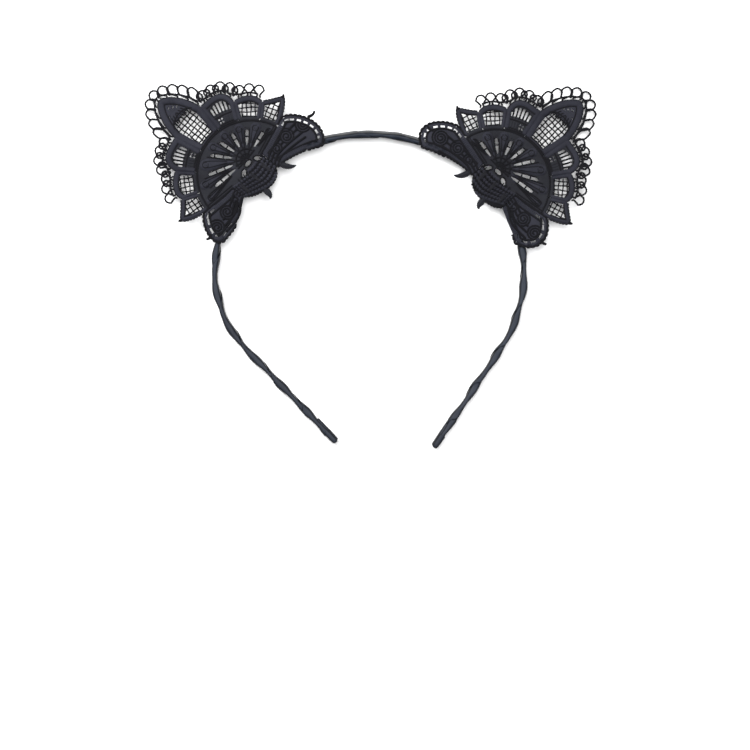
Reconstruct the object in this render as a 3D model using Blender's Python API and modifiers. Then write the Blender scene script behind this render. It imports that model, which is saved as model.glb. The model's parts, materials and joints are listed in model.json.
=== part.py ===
"""Animal ears headband, lying flat: a spring-steel hoop in a ribbon wrap, with two lace ears.

Metres, +Z up. The hoop lies in the XY plane with its edge on Z = 0 and the crown towards +Y.
Each ear is laid out in its own flat frame: "across" runs towards the middle of the crown and
"out" runs away from the hoop, both measured from the ear's centre, where its petals radiate.
"""
import math

import bpy
import bmesh
from mathutils import Matrix, Vector

MM = 0.001
COLLECTION = "animal_ears_headband"
GUIDES = "guides"
SIDES = ("left", "right")

# Clearances
TOUCH_GAP = 0.3 * MM            # between pieces that touch on the real object
SHOULDER_GAP = 1.4 * MM         # between the crown and an arm, where the hoop is let bend
FOLD_GAP = 1.0 * MM             # between an ear and its base, where the lace folds

# Hoop centreline: a half ellipse, then on each side a bend and a straight leg
HOOP_HALF_SPAN = 66.6 * MM
HOOP_RISE = 59.6 * MM
SHOULDER_ANGLE = math.radians(12.5)
BEND_RADIUS = {"left": 47.3 * MM, "right": 59.3 * MM}
BEND_ANGLE = {"left": math.radians(44.0), "right": math.radians(34.0)}
LEG_LENGTH = {"left": 51.0 * MM, "right": 46.0 * MM}
PATH_STEP = 5.5 * MM
TILT_AT_TOP = math.radians(24.0)

# Hoop section
STEEL_WIDTH = 4.2 * MM
STEEL_THICKNESS = 1.0 * MM
RIBBON_WALL = 0.4 * MM
CORNER_SHARE = 0.34             # of the thickness, taken off each corner
CAP_LENGTH = 5.0 * MM
CAP_WALL = 0.35 * MM            # how far the folded end stands proud of the ribbon wrap
CAP_ROUNDING = 0.5 * MM

# Lace thickness
LACE_THICKNESS = 1.2 * MM
NET_THICKNESS = 0.6 * MM
PICOT_THICKNESS = 0.6 * MM
TIP_HEIGHT = 1.9 * MM           # of the ear's far end above the surface

# Ear seats: direction of the ear's centre from the middle of the hoop, and the ear's turn from
# square to the hoop, counterclockwise seen from above
SEAT_ANGLE = {"left": math.radians(140.5), "right": math.radians(35.0)}
EAR_TURN = {"left": math.radians(6.3), "right": math.radians(3.3)}
STANDOFF = 2.6 * MM             # ear centre outside the hoop centreline
HINGE_OUT = 2.2 * MM            # fold line outside the ear centre

# Fan and petals, in polar form about the ear's centre; petals are measured outwards from the fan
FAN_RADIUS = 23.5 * MM
FAN_HALF_ANGLE = math.radians(79.5)
RIB_COUNT = 8
HUB_RADIUS = 6.5 * MM
TIP_LENGTH = 28.0 * MM
SIDE_LENGTH = 14.2 * MM
MID_LENGTH = 10.4 * MM
END_LENGTH = 12.3 * MM
TIP_NOTCH = 13.3 * MM           # notch between the tip petal and a side petal
SIDE_NOTCH = 9.3 * MM           # notch between a side petal and a mid petal
END_NOTCH = 8.3 * MM            # notch between a mid petal and an end petal
END_ROOT = 2.5 * MM             # where an end petal meets the fan's corner
TIP_HALF_ANGLE = math.radians(14.2)
SIDE_EDGE_ANGLE = math.radians(37.4)
MID_EDGE_ANGLE = math.radians(59.8)
BORDER = 2.6 * MM               # satin border along a petal's outer edge
THIN_BORDER = 1.7 * MM          # border of the pointed end petals, and along the fan
FLANK = {"tip": 2.6 * MM, "mid": 1.0 * MM, "end": 1.2 * MM}     # border down a petal's sides
NET_BAR = 0.9 * MM
NET_PITCH = 2.6 * MM            # least distance from one bar of a net to the next
MIN_OPENING = 2.8 * MM          # least height of a window or a net inside a petal

LEAST_ROW = 1.2 * NET_BAR       # least height of a row of openings where a net is lowest
PEAK_AT = {"tip": 0.53, "side": 0.5, "mid": 0.5, "end": 0.3}    # share of the way across
ROUNDNESS = {"tip": 1.5, "side": 2.2, "mid": 2.2, "end": 1.3}  # 1 is pointed, 2 is an arch
PETAL_STEPS = 11                # points along a petal's outer edge
WINDOW_STEPS = 9                # points along a window's or a net's outer edge
SIDE_SLITS = 5
SIDE_SLIT_START = 0.45          # share of a side petal's length below its slits
SIDE_SLIT_MARGIN = 0.7 * BORDER
RIB_SLIT_END = 0.78             # share of the fan's radius
RIB_SLIT_TAPER = 0.5 * MM       # length of a slit's pointed end
RIB_SLIT_HALF_WIDTH = (0.35 * MM, 0.5 * MM)     # half way along, and near the end

# Picot edging
PICOT_RUNNER = 0.9 * MM         # width of the thread that runs along the petals
PICOT_HEIGHT = 4.3 * MM
PICOT_PITCH = 4.4 * MM
PICOT_THREAD = 0.7 * MM
PICOT_OUTLINE = ((0.12, 0.62), (0.5, 1.0), (0.88, 0.62))        # shares across and up one loop
PICOT_OPENING = ((0.5, 0.0), (0.24, 0.45), (0.5, 1.0), (0.76, 0.45))

# Base band and wings
BASE_HALF_WIDTH = 9.4 * MM
BASE_LIP = 5.2 * MM             # how far the base reaches inside the hoop
LIP_PEAK = 1.8 * MM             # where across the base it reaches furthest
LIP_FULLNESS = 0.7              # below 1 makes the base's inner edge rounder
# Each wing's shoulder at the fan, its straight run from there, how far its rounded end is pulled
# out and how high over the foot, the foot on the hoop's inner edge, and the bulge beyond that edge
WINGS = {("upper", "left"): (27.0 * MM, 5.0 * MM, 39.0 * MM, 4.5 * MM, 29.2 * MM, 0.0 * MM),
         ("upper", "right"): (28.0 * MM, 6.0 * MM, 45.0 * MM, 4.8 * MM, 33.5 * MM, 0.0 * MM),
         ("lower", "left"): (25.4 * MM, 3.2 * MM, 35.0 * MM, 3.0 * MM, 29.8 * MM, 3.0 * MM),
         ("lower", "right"): (25.4 * MM, 3.2 * MM, 38.0 * MM, 5.6 * MM, 24.5 * MM, 0.8 * MM)}

# Barbs: root across the ear, length, width at the root, lean from straight inwards
BARBS = {
    "long": (10.2 * MM, 5.6 * MM, 2.4 * MM, math.radians(26.0)),
    "short": (-0.6 * MM, 3.4 * MM, 2.2 * MM, math.radians(-24.0)),
}
BARB_LEAN_SPREAD = (0.4, 1.3)   # of the lean, at the root and at the tip
BARB_TIP_SHARE = 0.2            # of the root's width

# Sewing thread
THREAD_RADIUS = 0.3 * MM
STITCH_INSET = 3.0 * MM         # from the base's side edges to the outer stitches
STITCHES = {"upper": 1, "middle": 0, "lower": -1}
STITCH_DEPTH = 2.4 * MM         # how far a stitch's legs reach down beside the hoop
STITCH_CORNER = 0.18            # share of a stitch's length over which it turns down

# Worked out from the sizes above
WRAP_WALLS = 2 * (RIBBON_WALL + TOUCH_GAP)
WRAP_WIDTH = STEEL_WIDTH + WRAP_WALLS
WRAP_THICKNESS = STEEL_THICKNESS + WRAP_WALLS
BASE_BOTTOM = WRAP_WIDTH + TOUCH_GAP
LACE_MIDDLE = BASE_BOTTOM + LACE_THICKNESS / 2
DROOP = math.asin((LACE_MIDDLE - TIP_HEIGHT) / (FAN_RADIUS + TIP_LENGTH - HINGE_OUT))


# ---------------------------------------------------------------- scene and materials

def clear_scene():
    for thing in list(bpy.data.objects):
        bpy.data.objects.remove(thing, do_unlink=True)


def new_collection(name):
    group = bpy.data.collections.new(name)
    bpy.context.scene.collection.children.link(group)
    return group


def material(name, colour, roughness, metallic=0.0):
    mat = bpy.data.materials.new(name)
    mat.use_nodes = True
    shader = mat.node_tree.nodes["Principled BSDF"]
    shader.inputs["Base Color"].default_value = (*colour, 1.0)
    shader.inputs["Roughness"].default_value = roughness
    shader.inputs["Metallic"].default_value = metallic
    mat.diffuse_color = (*colour, 1.0)
    return mat


def place(thing, parent, mat, location=(0, 0, 0)):
    """Put a finished object in the part's collection, under its parent, with its material."""
    bpy.data.collections[COLLECTION].objects.link(thing)
    thing.parent = parent
    thing.location = location
    thing.data.materials.append(mat)
    return thing


def empty(name, parent, location, rotation=(0, 0, 0)):
    thing = bpy.data.objects.new(name, None)
    bpy.data.collections[COLLECTION].objects.link(thing)
    thing.parent = parent
    thing.location = location
    thing.rotation_euler = rotation
    return thing


# ---------------------------------------------------------------- shapes shared by the sub-parts

def poly_spline(curve, points, closed):
    spline = curve.splines.new("POLY")
    spline.points.add(len(points) - 1)
    for knot, point in zip(spline.points, points):
        knot.co = (point[0], point[1], point[2] if len(point) > 2 else 0.0, 1.0)
    spline.use_cyclic_u = closed
    return spline


def flat_plate(name, outlines, thickness):
    """A plate of even thickness: the first outline is its edge and the rest are its holes."""
    curve = bpy.data.curves.new(name, "CURVE")
    curve.dimensions = "2D"
    curve.fill_mode = "BOTH"
    curve.extrude = thickness / 2
    for outline in outlines:
        poly_spline(curve, outline, closed=True)
    return bpy.data.objects.new(name, curve)


def thread(name, points, radius):
    """A round thread through the points, with closed ends."""
    curve = bpy.data.curves.new(name, "CURVE")
    curve.dimensions = "3D"
    curve.bevel_depth = radius
    curve.bevel_resolution = 1
    curve.use_fill_caps = True
    poly_spline(curve, points, closed=False)
    return bpy.data.objects.new(name, curve)


def spread(start, end, count):
    """count values from start to end, both included."""
    return [start + (end - start) * step / (count - 1) for step in range(count)]


def bezier(start, pull_start, pull_end, end, count):
    points = []
    for t in spread(0.0, 1.0, count):
        s = 1 - t
        weights = (s ** 3, 3 * s * s * t, 3 * s * t * t, t ** 3)
        corners = (start, pull_start, pull_end, end)
        points.append(tuple(sum(w * c[k] for w, c in zip(weights, corners)) for k in (0, 1)))
    return points


# ---------------------------------------------------------------- hoop

def ellipse_point(angle):
    return Vector((HOOP_HALF_SPAN * math.cos(angle), HOOP_RISE * math.sin(angle), 0))


def ellipse_radius(direction):
    """Distance from the middle of the hoop to its centreline, in a direction."""
    across = HOOP_RISE * math.cos(direction)
    along = HOOP_HALF_SPAN * math.sin(direction)
    return HOOP_HALF_SPAN * HOOP_RISE / math.hypot(across, along)


def side_sign(side):
    return -1.0 if side == "left" else 1.0


def dense_arm(side):
    """The arm's centreline from its shoulder to its end, in fine steps."""
    sign = side_sign(side)
    points = []
    for angle in spread(SHOULDER_ANGLE, 0.0, 12):
        point = ellipse_point(angle)
        points.append(Vector((sign * point.x, point.y, 0)))
    radius = BEND_RADIUS[side]
    centre = Vector((sign * (HOOP_HALF_SPAN - radius), 0, 0))
    for turn in spread(0.0, BEND_ANGLE[side], 30)[1:]:
        points.append(centre + Vector((sign * radius * math.cos(turn), -radius * math.sin(turn), 0)))
    heading = arm_heading(side)
    last = points[-1]
    for run in spread(0.0, LEG_LENGTH[side], 20)[1:]:
        points.append(last + heading * run)
    return points


def arm_heading(side):
    turn = BEND_ANGLE[side]
    return Vector((-side_sign(side) * math.sin(turn), -math.cos(turn), 0))


def dense_crown():
    return [ellipse_point(angle) for angle in spread(math.pi - SHOULDER_ANGLE, SHOULDER_ANGLE, 160)]


def resample(points, trim_start, trim_end):
    """Points at even steps along a polyline, with a length trimmed off each end."""
    lengths = [0.0]
    for a, b in zip(points, points[1:]):
        lengths.append(lengths[-1] + (b - a).length)
    total = lengths[-1] - trim_start - trim_end
    count = max(3, round(total / PATH_STEP) + 1)
    result = []
    index = 0
    for target in spread(trim_start, lengths[-1] - trim_end, count):
        while index < len(points) - 2 and lengths[index + 1] < target:
            index += 1
        share = (target - lengths[index]) / (lengths[index + 1] - lengths[index])
        result.append(points[index].lerp(points[index + 1], share))
    return result


def hoop_tilt(point):
    """The strip leans most at the top of the crown and stands upright at the arms' ends."""
    rise = max(0.0, point.y) / HOOP_RISE
    return TILT_AT_TOP * rise


def section(width, thickness):
    """Corner-cut rectangle: X is the strip's thickness and Y is its width."""
    cut = CORNER_SHARE * thickness
    half_t = thickness / 2
    half_w = width / 2
    corner = [(-half_t, half_w - cut), (cut - half_t, half_w)]
    top = corner + [(-x, y) for x, y in reversed(corner)]
    return top + [(-x, -y) for x, y in top]


def half_height(tilt):
    """Height of the wrapped strip's middle above the surface when it leans by a tilt."""
    points = section(WRAP_WIDTH, WRAP_THICKNESS)
    return max(x * math.sin(tilt) + y * math.cos(tilt) for x, y in points)


def half_breadth(tilt):
    """Half the wrapped strip's breadth seen from above when it leans by a tilt."""
    points = section(WRAP_WIDTH, WRAP_THICKNESS)
    return max(x * math.cos(tilt) + y * math.sin(tilt) for x, y in points)


def section_guide(name, width, thickness):
    curve = bpy.data.curves.new(name, "CURVE")
    curve.dimensions = "2D"
    poly_spline(curve, section(width, thickness), closed=True)
    guide = bpy.data.objects.new(name, curve)
    guide.hide_render = True
    guide.display_type = "WIRE"
    bpy.data.collections[GUIDES].objects.link(guide)
    return guide


def swept_strip(name, path, origin, guide, capped):
    curve = bpy.data.curves.new(name, "CURVE")
    curve.dimensions = "3D"
    curve.twist_mode = "Z_UP"
    curve.bevel_mode = "OBJECT"
    curve.bevel_object = guide
    curve.use_fill_caps = capped
    raised = [point - origin + Vector((0, 0, half_height(hoop_tilt(point)))) for point in path]
    spline = poly_spline(curve, raised, closed=False)
    for knot, point in zip(spline.points, path):
        knot.tilt = hoop_tilt(point)
    return bpy.data.objects.new(name, curve)


def steel_strip(name, path, origin, parent, guide, mat):
    place(swept_strip(name, path, origin, guide, capped=True), parent, mat)


def ribbon_wrap(name, path, origin, parent, guide, mat):
    """The wound ribbon as one sleeve, open at both ends, with the strip inside it."""
    sleeve = place(swept_strip(name, path, origin, guide, capped=False), parent, mat)
    wall = sleeve.modifiers.new("wall", "SOLIDIFY")
    wall.thickness = RIBBON_WALL
    wall.offset = -1.0
    wall.use_even_offset = True


def ribbon_end(side, path_end, origin, parent, mat):
    """The ribbon's glued end, folded over the strip's end as a small block."""
    cube = bmesh.new()
    bmesh.ops.create_cube(cube, size=1.0)
    size = (WRAP_THICKNESS + 2 * CAP_WALL, CAP_LENGTH, WRAP_WIDTH)
    bmesh.ops.transform(cube, matrix=Matrix.Diagonal((*size, 1.0)), verts=cube.verts)
    mesh = bpy.data.meshes.new("ribbon_end_" + side)
    cube.to_mesh(mesh)
    cube.free()
    cap = bpy.data.objects.new("ribbon_end_" + side, mesh)
    heading = arm_heading(side)
    middle = path_end + heading * (TOUCH_GAP + CAP_LENGTH / 2)
    place(cap, parent, mat, middle - origin + Vector((0, 0, WRAP_WIDTH / 2)))
    cap.rotation_euler = (0, 0, math.atan2(heading.y, heading.x) - math.pi / 2)
    edges = cap.modifiers.new("soft_edges", "BEVEL")
    edges.width = CAP_ROUNDING
    edges.segments = 2


def build_hoop(frame, steel, ribbon):
    steel_guide = section_guide("steel_section", STEEL_WIDTH, STEEL_THICKNESS)
    wrap_guide = section_guide("wrap_section", WRAP_WIDTH, WRAP_THICKNESS)
    here = Vector((0, 0, 0))
    half_gap = SHOULDER_GAP / 2
    crown = resample(dense_crown(), half_gap, half_gap)
    steel_strip("steel_hoop_crown", crown, here, frame, steel_guide, steel)
    ribbon_wrap("ribbon_wrap_crown", crown, here, frame, wrap_guide, ribbon)
    for side in SIDES:
        dense = dense_arm(side)
        pivot = dense[0]
        hinge = empty("shoulder_" + side, frame, pivot)
        path = resample(dense, half_gap, 0.0)
        steel_strip("steel_hoop_arm_" + side, path, pivot, hinge, steel_guide, steel)
        ribbon_wrap("ribbon_wrap_arm_" + side, path, pivot, hinge, wrap_guide, ribbon)
        ribbon_end(side, path[-1], pivot, hinge, ribbon)


# ---------------------------------------------------------------- ear layout

def polar(angle, radius, mirror):
    """A point of the ear: the angle is from the ear's axis, positive towards the crown."""
    return (mirror * radius * math.sin(angle), radius * math.cos(angle))


def lobe(kind, angles, notches, length):
    """A petal's outer edge: its direction and radius at a share of the way from notch to notch."""
    start, end = angles
    peak_at = PEAK_AT[kind]
    power = ROUNDNESS[kind]

    def edge(share):
        notch = notches[0] + (notches[1] - notches[0]) * share
        off = 1 - share / peak_at if share < peak_at else (share - peak_at) / (1 - peak_at)
        return start + (end - start) * share, FAN_RADIUS + notch + (length - notch) * (1 - off ** power)
    return edge


def petal_edges():
    """Each petal's outer edge, from the crown's side (inner) to the arm's side (outer)."""
    edges = {"tip": lobe("tip", (TIP_HALF_ANGLE, -TIP_HALF_ANGLE), (TIP_NOTCH, TIP_NOTCH), TIP_LENGTH)}
    for name, sign in (("inner", 1.0), ("outer", -1.0)):
        tip, side, mid, end = (sign * angle for angle in
                               (TIP_HALF_ANGLE, SIDE_EDGE_ANGLE, MID_EDGE_ANGLE, FAN_HALF_ANGLE))
        edges["side_" + name] = lobe("side", (side, tip), (SIDE_NOTCH, TIP_NOTCH), SIDE_LENGTH)
        edges["mid_" + name] = lobe("mid", (mid, side), (END_NOTCH, SIDE_NOTCH), MID_LENGTH)
        edges["end_" + name] = lobe("end", (end, mid), (END_ROOT, END_NOTCH), END_LENGTH)
    return edges


def open_span(edge, inset, low):
    """The shares of the way across a petal between which its inset edge clears the fan."""
    clear = [share for share in spread(0.0, 1.0, 101) if edge(share)[1] - inset > low + MIN_OPENING]
    return clear[0], clear[-1]


def petal_grid(edge, mirror, inset, low, sides):
    """A function from shares across and up a petal to a point inside its border."""
    first, last = open_span(edge, inset, low)
    start, end = edge(first)[0], edge(last)[0]
    direction = 1.0 if end > start else -1.0

    def point(across, up, bar_across=0.0, bar_up=0.0):
        angle, radius = edge(first + (last - first) * across)
        reach = low + (radius - inset - low) * up + bar_up
        angle += direction * (sides * (1 - 2 * across) + bar_across) / reach
        return polar(angle, reach, mirror)
    return point


def patch(edge, mirror, inset, low, sides, samples):
    """Closed outline of a petal's area: inset from its outer edge, its sides and the fan."""
    point = petal_grid(edge, mirror, inset, low, sides)
    top = [point(across, 1.0) for across in spread(0.0, 1.0, samples)]
    return top + [point(across, 0.0) for across in spread(1.0, 0.0, 4)]


def cells(edge, mirror, inset, low, sides, rows, columns):
    """Openings of a net: a grid that follows the petal's outer edge."""
    point = petal_grid(edge, mirror, inset, low, sides)
    half = NET_BAR / 2
    holes = []
    for column in range(columns):
        for row in range(rows):
            corners = ((0, 0), (1, 0), (1, 1), (0, 1))
            holes.append([point((column + dc) / columns, (row + dr) / rows,
                                half * (1 - 2 * dc), half * (1 - 2 * dr)) for dc, dr in corners])
    return holes


def net_counts(edge, inset, low, sides):
    """How many rows and columns of openings fit in a petal's net."""
    first, last = open_span(edge, inset, low)
    width = abs(edge(last)[0] - edge(first)[0]) * low - 2 * sides
    height = min(edge(first)[1], edge(last)[1], edge(0.5)[1]) - inset - low
    middle = edge(0.5)[1] - inset - low
    rows = min(int(middle / NET_PITCH), int(height / LEAST_ROW))
    return max(1, rows), max(1, int(width / NET_PITCH))


def petal_frame(name, edge, mirror, border, flank):
    outer = patch(edge, mirror, 0.0, FAN_RADIUS + TOUCH_GAP, TOUCH_GAP / 2, PETAL_STEPS)
    window = patch(edge, mirror, border, FAN_RADIUS + THIN_BORDER, TOUCH_GAP / 2 + flank, WINDOW_STEPS)
    return flat_plate(name, [outer, window], LACE_THICKNESS)


def petal_net(name, edge, mirror, border, flank):
    low = FAN_RADIUS + THIN_BORDER + TOUCH_GAP
    inset = border + TOUCH_GAP
    sides = flank + 1.5 * TOUCH_GAP
    outline = patch(edge, mirror, inset, low, sides, WINDOW_STEPS)
    rim = NET_BAR / 2
    grid = (inset + rim, low + rim, sides + rim)
    rows, columns = net_counts(edge, *grid)
    holes = cells(edge, mirror, *grid, rows, columns)
    return flat_plate(name, [outline] + holes, NET_THICKNESS)


def side_petal(name, edge, mirror):
    """A dense petal with one row of slits under its arch."""
    outer = patch(edge, mirror, 0.0, FAN_RADIUS + TOUCH_GAP, TOUCH_GAP / 2, PETAL_STEPS)
    slit_low = FAN_RADIUS + SIDE_SLIT_START * SIDE_LENGTH
    slits = cells(edge, mirror, BORDER, slit_low, SIDE_SLIT_MARGIN, 1, SIDE_SLITS)
    return flat_plate(name, [outer] + slits, LACE_THICKNESS)


def rib_slit(angle, mirror):
    """A long tapered opening between two ribs of the fan."""
    low = HUB_RADIUS
    high = RIB_SLIT_END * FAN_RADIUS
    half_way, near_end = RIB_SLIT_HALF_WIDTH
    shape = ((low, 0.0), ((low + high) / 2, half_way), (high, near_end), (high + RIB_SLIT_TAPER, 0.0))
    right = [(angle + width / radius, radius) for radius, width in shape]
    left = [(angle - width / radius, radius) for radius, width in shape[-2:0:-1]]
    return [polar(a, r, mirror) for a, r in right + left]


def fan_plate(name, mirror):
    """The ribbed shell at the root of the ear, cut straight along the fold line."""
    low = HINGE_OUT + FOLD_GAP / 2
    corner = low / math.cos(FAN_HALF_ANGLE)
    arc = [polar(angle, FAN_RADIUS, mirror) for angle in spread(FAN_HALF_ANGLE, -FAN_HALF_ANGLE, 25)]
    root = [polar(-FAN_HALF_ANGLE, corner, mirror), polar(FAN_HALF_ANGLE, corner, mirror)]
    step = 2 * FAN_HALF_ANGLE / RIB_COUNT
    slits = [rib_slit(-FAN_HALF_ANGLE + step * (rib + 0.5), mirror) for rib in range(1, RIB_COUNT - 1)]
    return flat_plate(name, [arc + root] + slits, LACE_THICKNESS)


# ---------------------------------------------------------------- picot edging

def rim_points(steps):
    """Points along the outer edges of the petals that carry picots, in polar form."""
    edges = petal_edges()
    rim = []
    for name in ("mid_inner", "side_inner", "tip", "side_outer", "mid_outer"):
        points = [edges[name](share) for share in spread(0.0, 1.0, steps)]
        rim += points if points[0][0] > points[-1][0] else points[::-1]
    return rim


def rim_radius(angle, offset, rim):
    """How far out the line lies that runs at an even distance around the petals."""
    best = 0.0
    for rim_angle, radius in rim:
        sideways = radius * math.sin(angle - rim_angle)
        if abs(sideways) < offset:
            ahead = radius * math.cos(angle - rim_angle)
            best = max(best, ahead + math.sqrt(offset * offset - sideways * sideways))
    return best


def picot_angles(rim):
    """Directions of the picots' feet, one pitch apart along the edging's middle line."""
    middle = TOUCH_GAP + PICOT_RUNNER + PICOT_HEIGHT / 2
    end = MID_EDGE_ANGLE - TOUCH_GAP / (FAN_RADIUS + END_NOTCH)
    angles = spread(end, -end, 400)
    points = [Vector(polar(angle, rim_radius(angle, middle, rim), 1.0)) for angle in angles]
    lengths = [0.0]
    for a, b in zip(points, points[1:]):
        lengths.append(lengths[-1] + (b - a).length)
    count = round(lengths[-1] / PICOT_PITCH)
    feet = []
    index = 0
    for target in spread(0.0, lengths[-1], count + 1):
        while index < len(angles) - 2 and lengths[index + 1] < target:
            index += 1
        share = (target - lengths[index]) / (lengths[index + 1] - lengths[index])
        feet.append(angles[index] + (angles[index + 1] - angles[index]) * share)
    return feet


def picot_plate(name, mirror):
    """The scalloped edging: one loop a pitch, standing on a runner thread."""
    rim = rim_points(160)
    feet = picot_angles(rim)
    low = TOUCH_GAP + PICOT_RUNNER
    end = feet[0]
    inner = [(angle, TOUCH_GAP) for angle, _ in rim_points(PETAL_STEPS) if abs(angle) < end]
    inner = [(end, TOUCH_GAP)] + inner + [(-end, TOUCH_GAP)]
    outer = []
    loops = []
    for a, b in zip(feet, feet[1:]):
        for share, lift in PICOT_OUTLINE:
            angle = a + (b - a) * share
            outer.append((angle, low + PICOT_HEIGHT * lift))
        top = PICOT_HEIGHT - PICOT_THREAD
        loops.append([(a + (b - a) * share, low + top * lift) for share, lift in PICOT_OPENING])
    outlines = [outer + inner[::-1]] + loops
    return flat_plate(name, [[polar(angle, rim_radius(angle, offset, rim), mirror)
                              for angle, offset in outline] for outline in outlines], PICOT_THICKNESS)


# ---------------------------------------------------------------- base band, wings and barbs

def ear_centre(side):
    distance = ellipse_radius(SEAT_ANGLE[side]) + STANDOFF
    return Vector((distance * math.cos(SEAT_ANGLE[side]), distance * math.sin(SEAT_ANGLE[side])))


def ear_axis(side):
    """Direction of the ear's axis: square to the hoop at its seat, plus the ear's own turn."""
    seat = ear_centre(side)
    return math.atan2(seat.y / HOOP_RISE ** 2, seat.x / HOOP_HALF_SPAN ** 2) + EAR_TURN[side]


def ear_axes(side):
    """Directions across the ear, towards the middle of the crown, and out along its axis."""
    axis = ear_axis(side)
    inwards = axis + math.pi / 2 * side_sign(side)
    return (Vector((math.cos(inwards), math.sin(inwards))), Vector((math.cos(axis), math.sin(axis))))


def hoop_out(side, across, offset):
    """The hoop's place in the ear's frame, at a distance across it, to one side of its centreline."""
    across_way, out_way = ear_axes(side)
    start = ear_centre(side) + across_way * across
    half_span = HOOP_HALF_SPAN + offset
    rise = HOOP_RISE + offset
    a = (out_way.x / half_span) ** 2 + (out_way.y / rise) ** 2
    b = start.x * out_way.x / half_span ** 2 + start.y * out_way.y / rise ** 2
    c = (start.x / half_span) ** 2 + (start.y / rise) ** 2 - 1
    return (-b + math.sqrt(b * b - a * c)) / a


def inner_edge(side, across):
    return hoop_out(side, across, -half_breadth(TILT_AT_TOP))


def stitch_holes(side, mirror):
    """Where each stitch goes through the base, on both sides of the hoop."""
    reach = half_breadth(TILT_AT_TOP) + TOUCH_GAP + THREAD_RADIUS
    holes = {}
    for name, place_number in STITCHES.items():
        across = place_number * (BASE_HALF_WIDTH - STITCH_INSET)
        holes[name] = [(mirror * across, hoop_out(side, across, reach * sign)) for sign in (-1, 1)]
    return holes


def base_lip(across):
    """How far the base reaches inside the hoop, at a distance across it."""
    half = BASE_HALF_WIDTH - LIP_PEAK if across > LIP_PEAK else BASE_HALF_WIDTH + LIP_PEAK
    quarter_turn = math.pi / 2 * (across - LIP_PEAK) / half
    return BASE_LIP * max(0.0, math.cos(quarter_turn)) ** LIP_FULLNESS


def base_plate(name, side, mirror):
    """The rows of cord under the hub, laid over the hoop and sewn to it."""
    top = HINGE_OUT - FOLD_GAP / 2
    across = spread(-BASE_HALF_WIDTH, BASE_HALF_WIDTH, 9)
    lip = [(mirror * a, inner_edge(side, a) - base_lip(a)) for a in across]
    outline = lip + [(mirror * BASE_HALF_WIDTH, top), (-mirror * BASE_HALF_WIDTH, top)]
    radius = THREAD_RADIUS + TOUCH_GAP
    turns = [2 * math.pi * step / 6 for step in range(6)]
    holes = []
    for pair in stitch_holes(side, mirror).values():
        for x, y in pair:
            holes.append([(x + radius * math.cos(t), y + radius * math.sin(t)) for t in turns])
    return flat_plate(name, [outline] + holes, LACE_THICKNESS)


def wing_plate(name, end, side, mirror):
    """A scrolled shell beside the base: it follows the fan, rounds off and returns on the hoop."""
    sign = 1.0 if end == "upper" else -1.0
    root = BASE_HALF_WIDTH + TOUCH_GAP
    shoulder, straight, pull, pull_rise, foot, bulge = WINGS[end, side]
    fan_side = []
    for radius in spread(root / math.sin(FAN_HALF_ANGLE), shoulder, 4):
        angle = FAN_HALF_ANGLE + TOUCH_GAP / radius
        fan_side.append((radius * math.sin(angle), radius * math.cos(angle)))
    fan_side[0] = (root, min(fan_side[0][1], HINGE_OUT - FOLD_GAP / 2))
    foot_out = inner_edge(side, sign * foot)
    start = fan_side[-1]
    leave = (start[0] + straight, start[1])
    rounded = bezier(start, leave, (pull, foot_out + pull_rise), (foot, foot_out), 9)
    returned = []
    for across in spread(foot, root, 7)[1:]:
        swell = bulge * math.sin(math.pi * (across - root) / (foot - root))
        returned.append((across, inner_edge(side, sign * across) - swell))
    outline = [(sign * mirror * x, y) for x, y in fan_side + rounded[1:] + returned]
    return flat_plate(name, [outline], LACE_THICKNESS)


def barb_plate(name, which, side, mirror):
    """A small hooked spur on the base's inner edge."""
    across, length, width, lean = BARBS[which]
    lip = base_lip(across) if abs(across) < BASE_HALF_WIDTH else 0.0
    root_out = inner_edge(side, across) - lip - TOUCH_GAP - width / 4
    root_lean, tip_lean = BARB_LEAN_SPREAD
    left = []
    right = []
    for share in spread(0.0, 1.0, 5):
        turn = lean * (root_lean + (tip_lean - root_lean) * share)
        middle_x = across + length * share * math.sin(turn)
        middle_y = root_out - length * share * math.cos(turn)
        half = width / 2 * (1 - (1 - BARB_TIP_SHARE) * share)
        left.append((mirror * (middle_x - half), middle_y))
        right.append((mirror * (middle_x + half), middle_y))
    return flat_plate(name, [left + right[::-1]], LACE_THICKNESS)


def stitch(name, feet):
    """One stitch: over the base and down both sides of the hoop."""
    lift = LACE_THICKNESS / 2 + TOUCH_GAP + THREAD_RADIUS
    drop = -LACE_THICKNESS / 2 - STITCH_DEPTH
    (ax, ay), (bx, by) = feet
    corner = STITCH_CORNER * (by - ay)
    route = [(ax, ay, drop), (ax, ay, lift - THREAD_RADIUS), (ax, ay + corner, lift),
             (bx, by - corner, lift), (bx, by, lift - THREAD_RADIUS), (bx, by, drop)]
    return thread(name, route, THREAD_RADIUS)


# ---------------------------------------------------------------- ears

def ear_frames(side, frame):
    """The ear's seat on the hoop, and its fold line, which droops towards the surface."""
    centre = (*ear_centre(side), LACE_MIDDLE)
    seat = empty("ear_seat_" + side, frame, centre, (0, 0, ear_axis(side) - math.pi / 2))
    fold = empty("ear_fold_" + side, seat, (0, HINGE_OUT, 0), (-DROOP, 0, 0))
    return seat, fold


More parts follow.
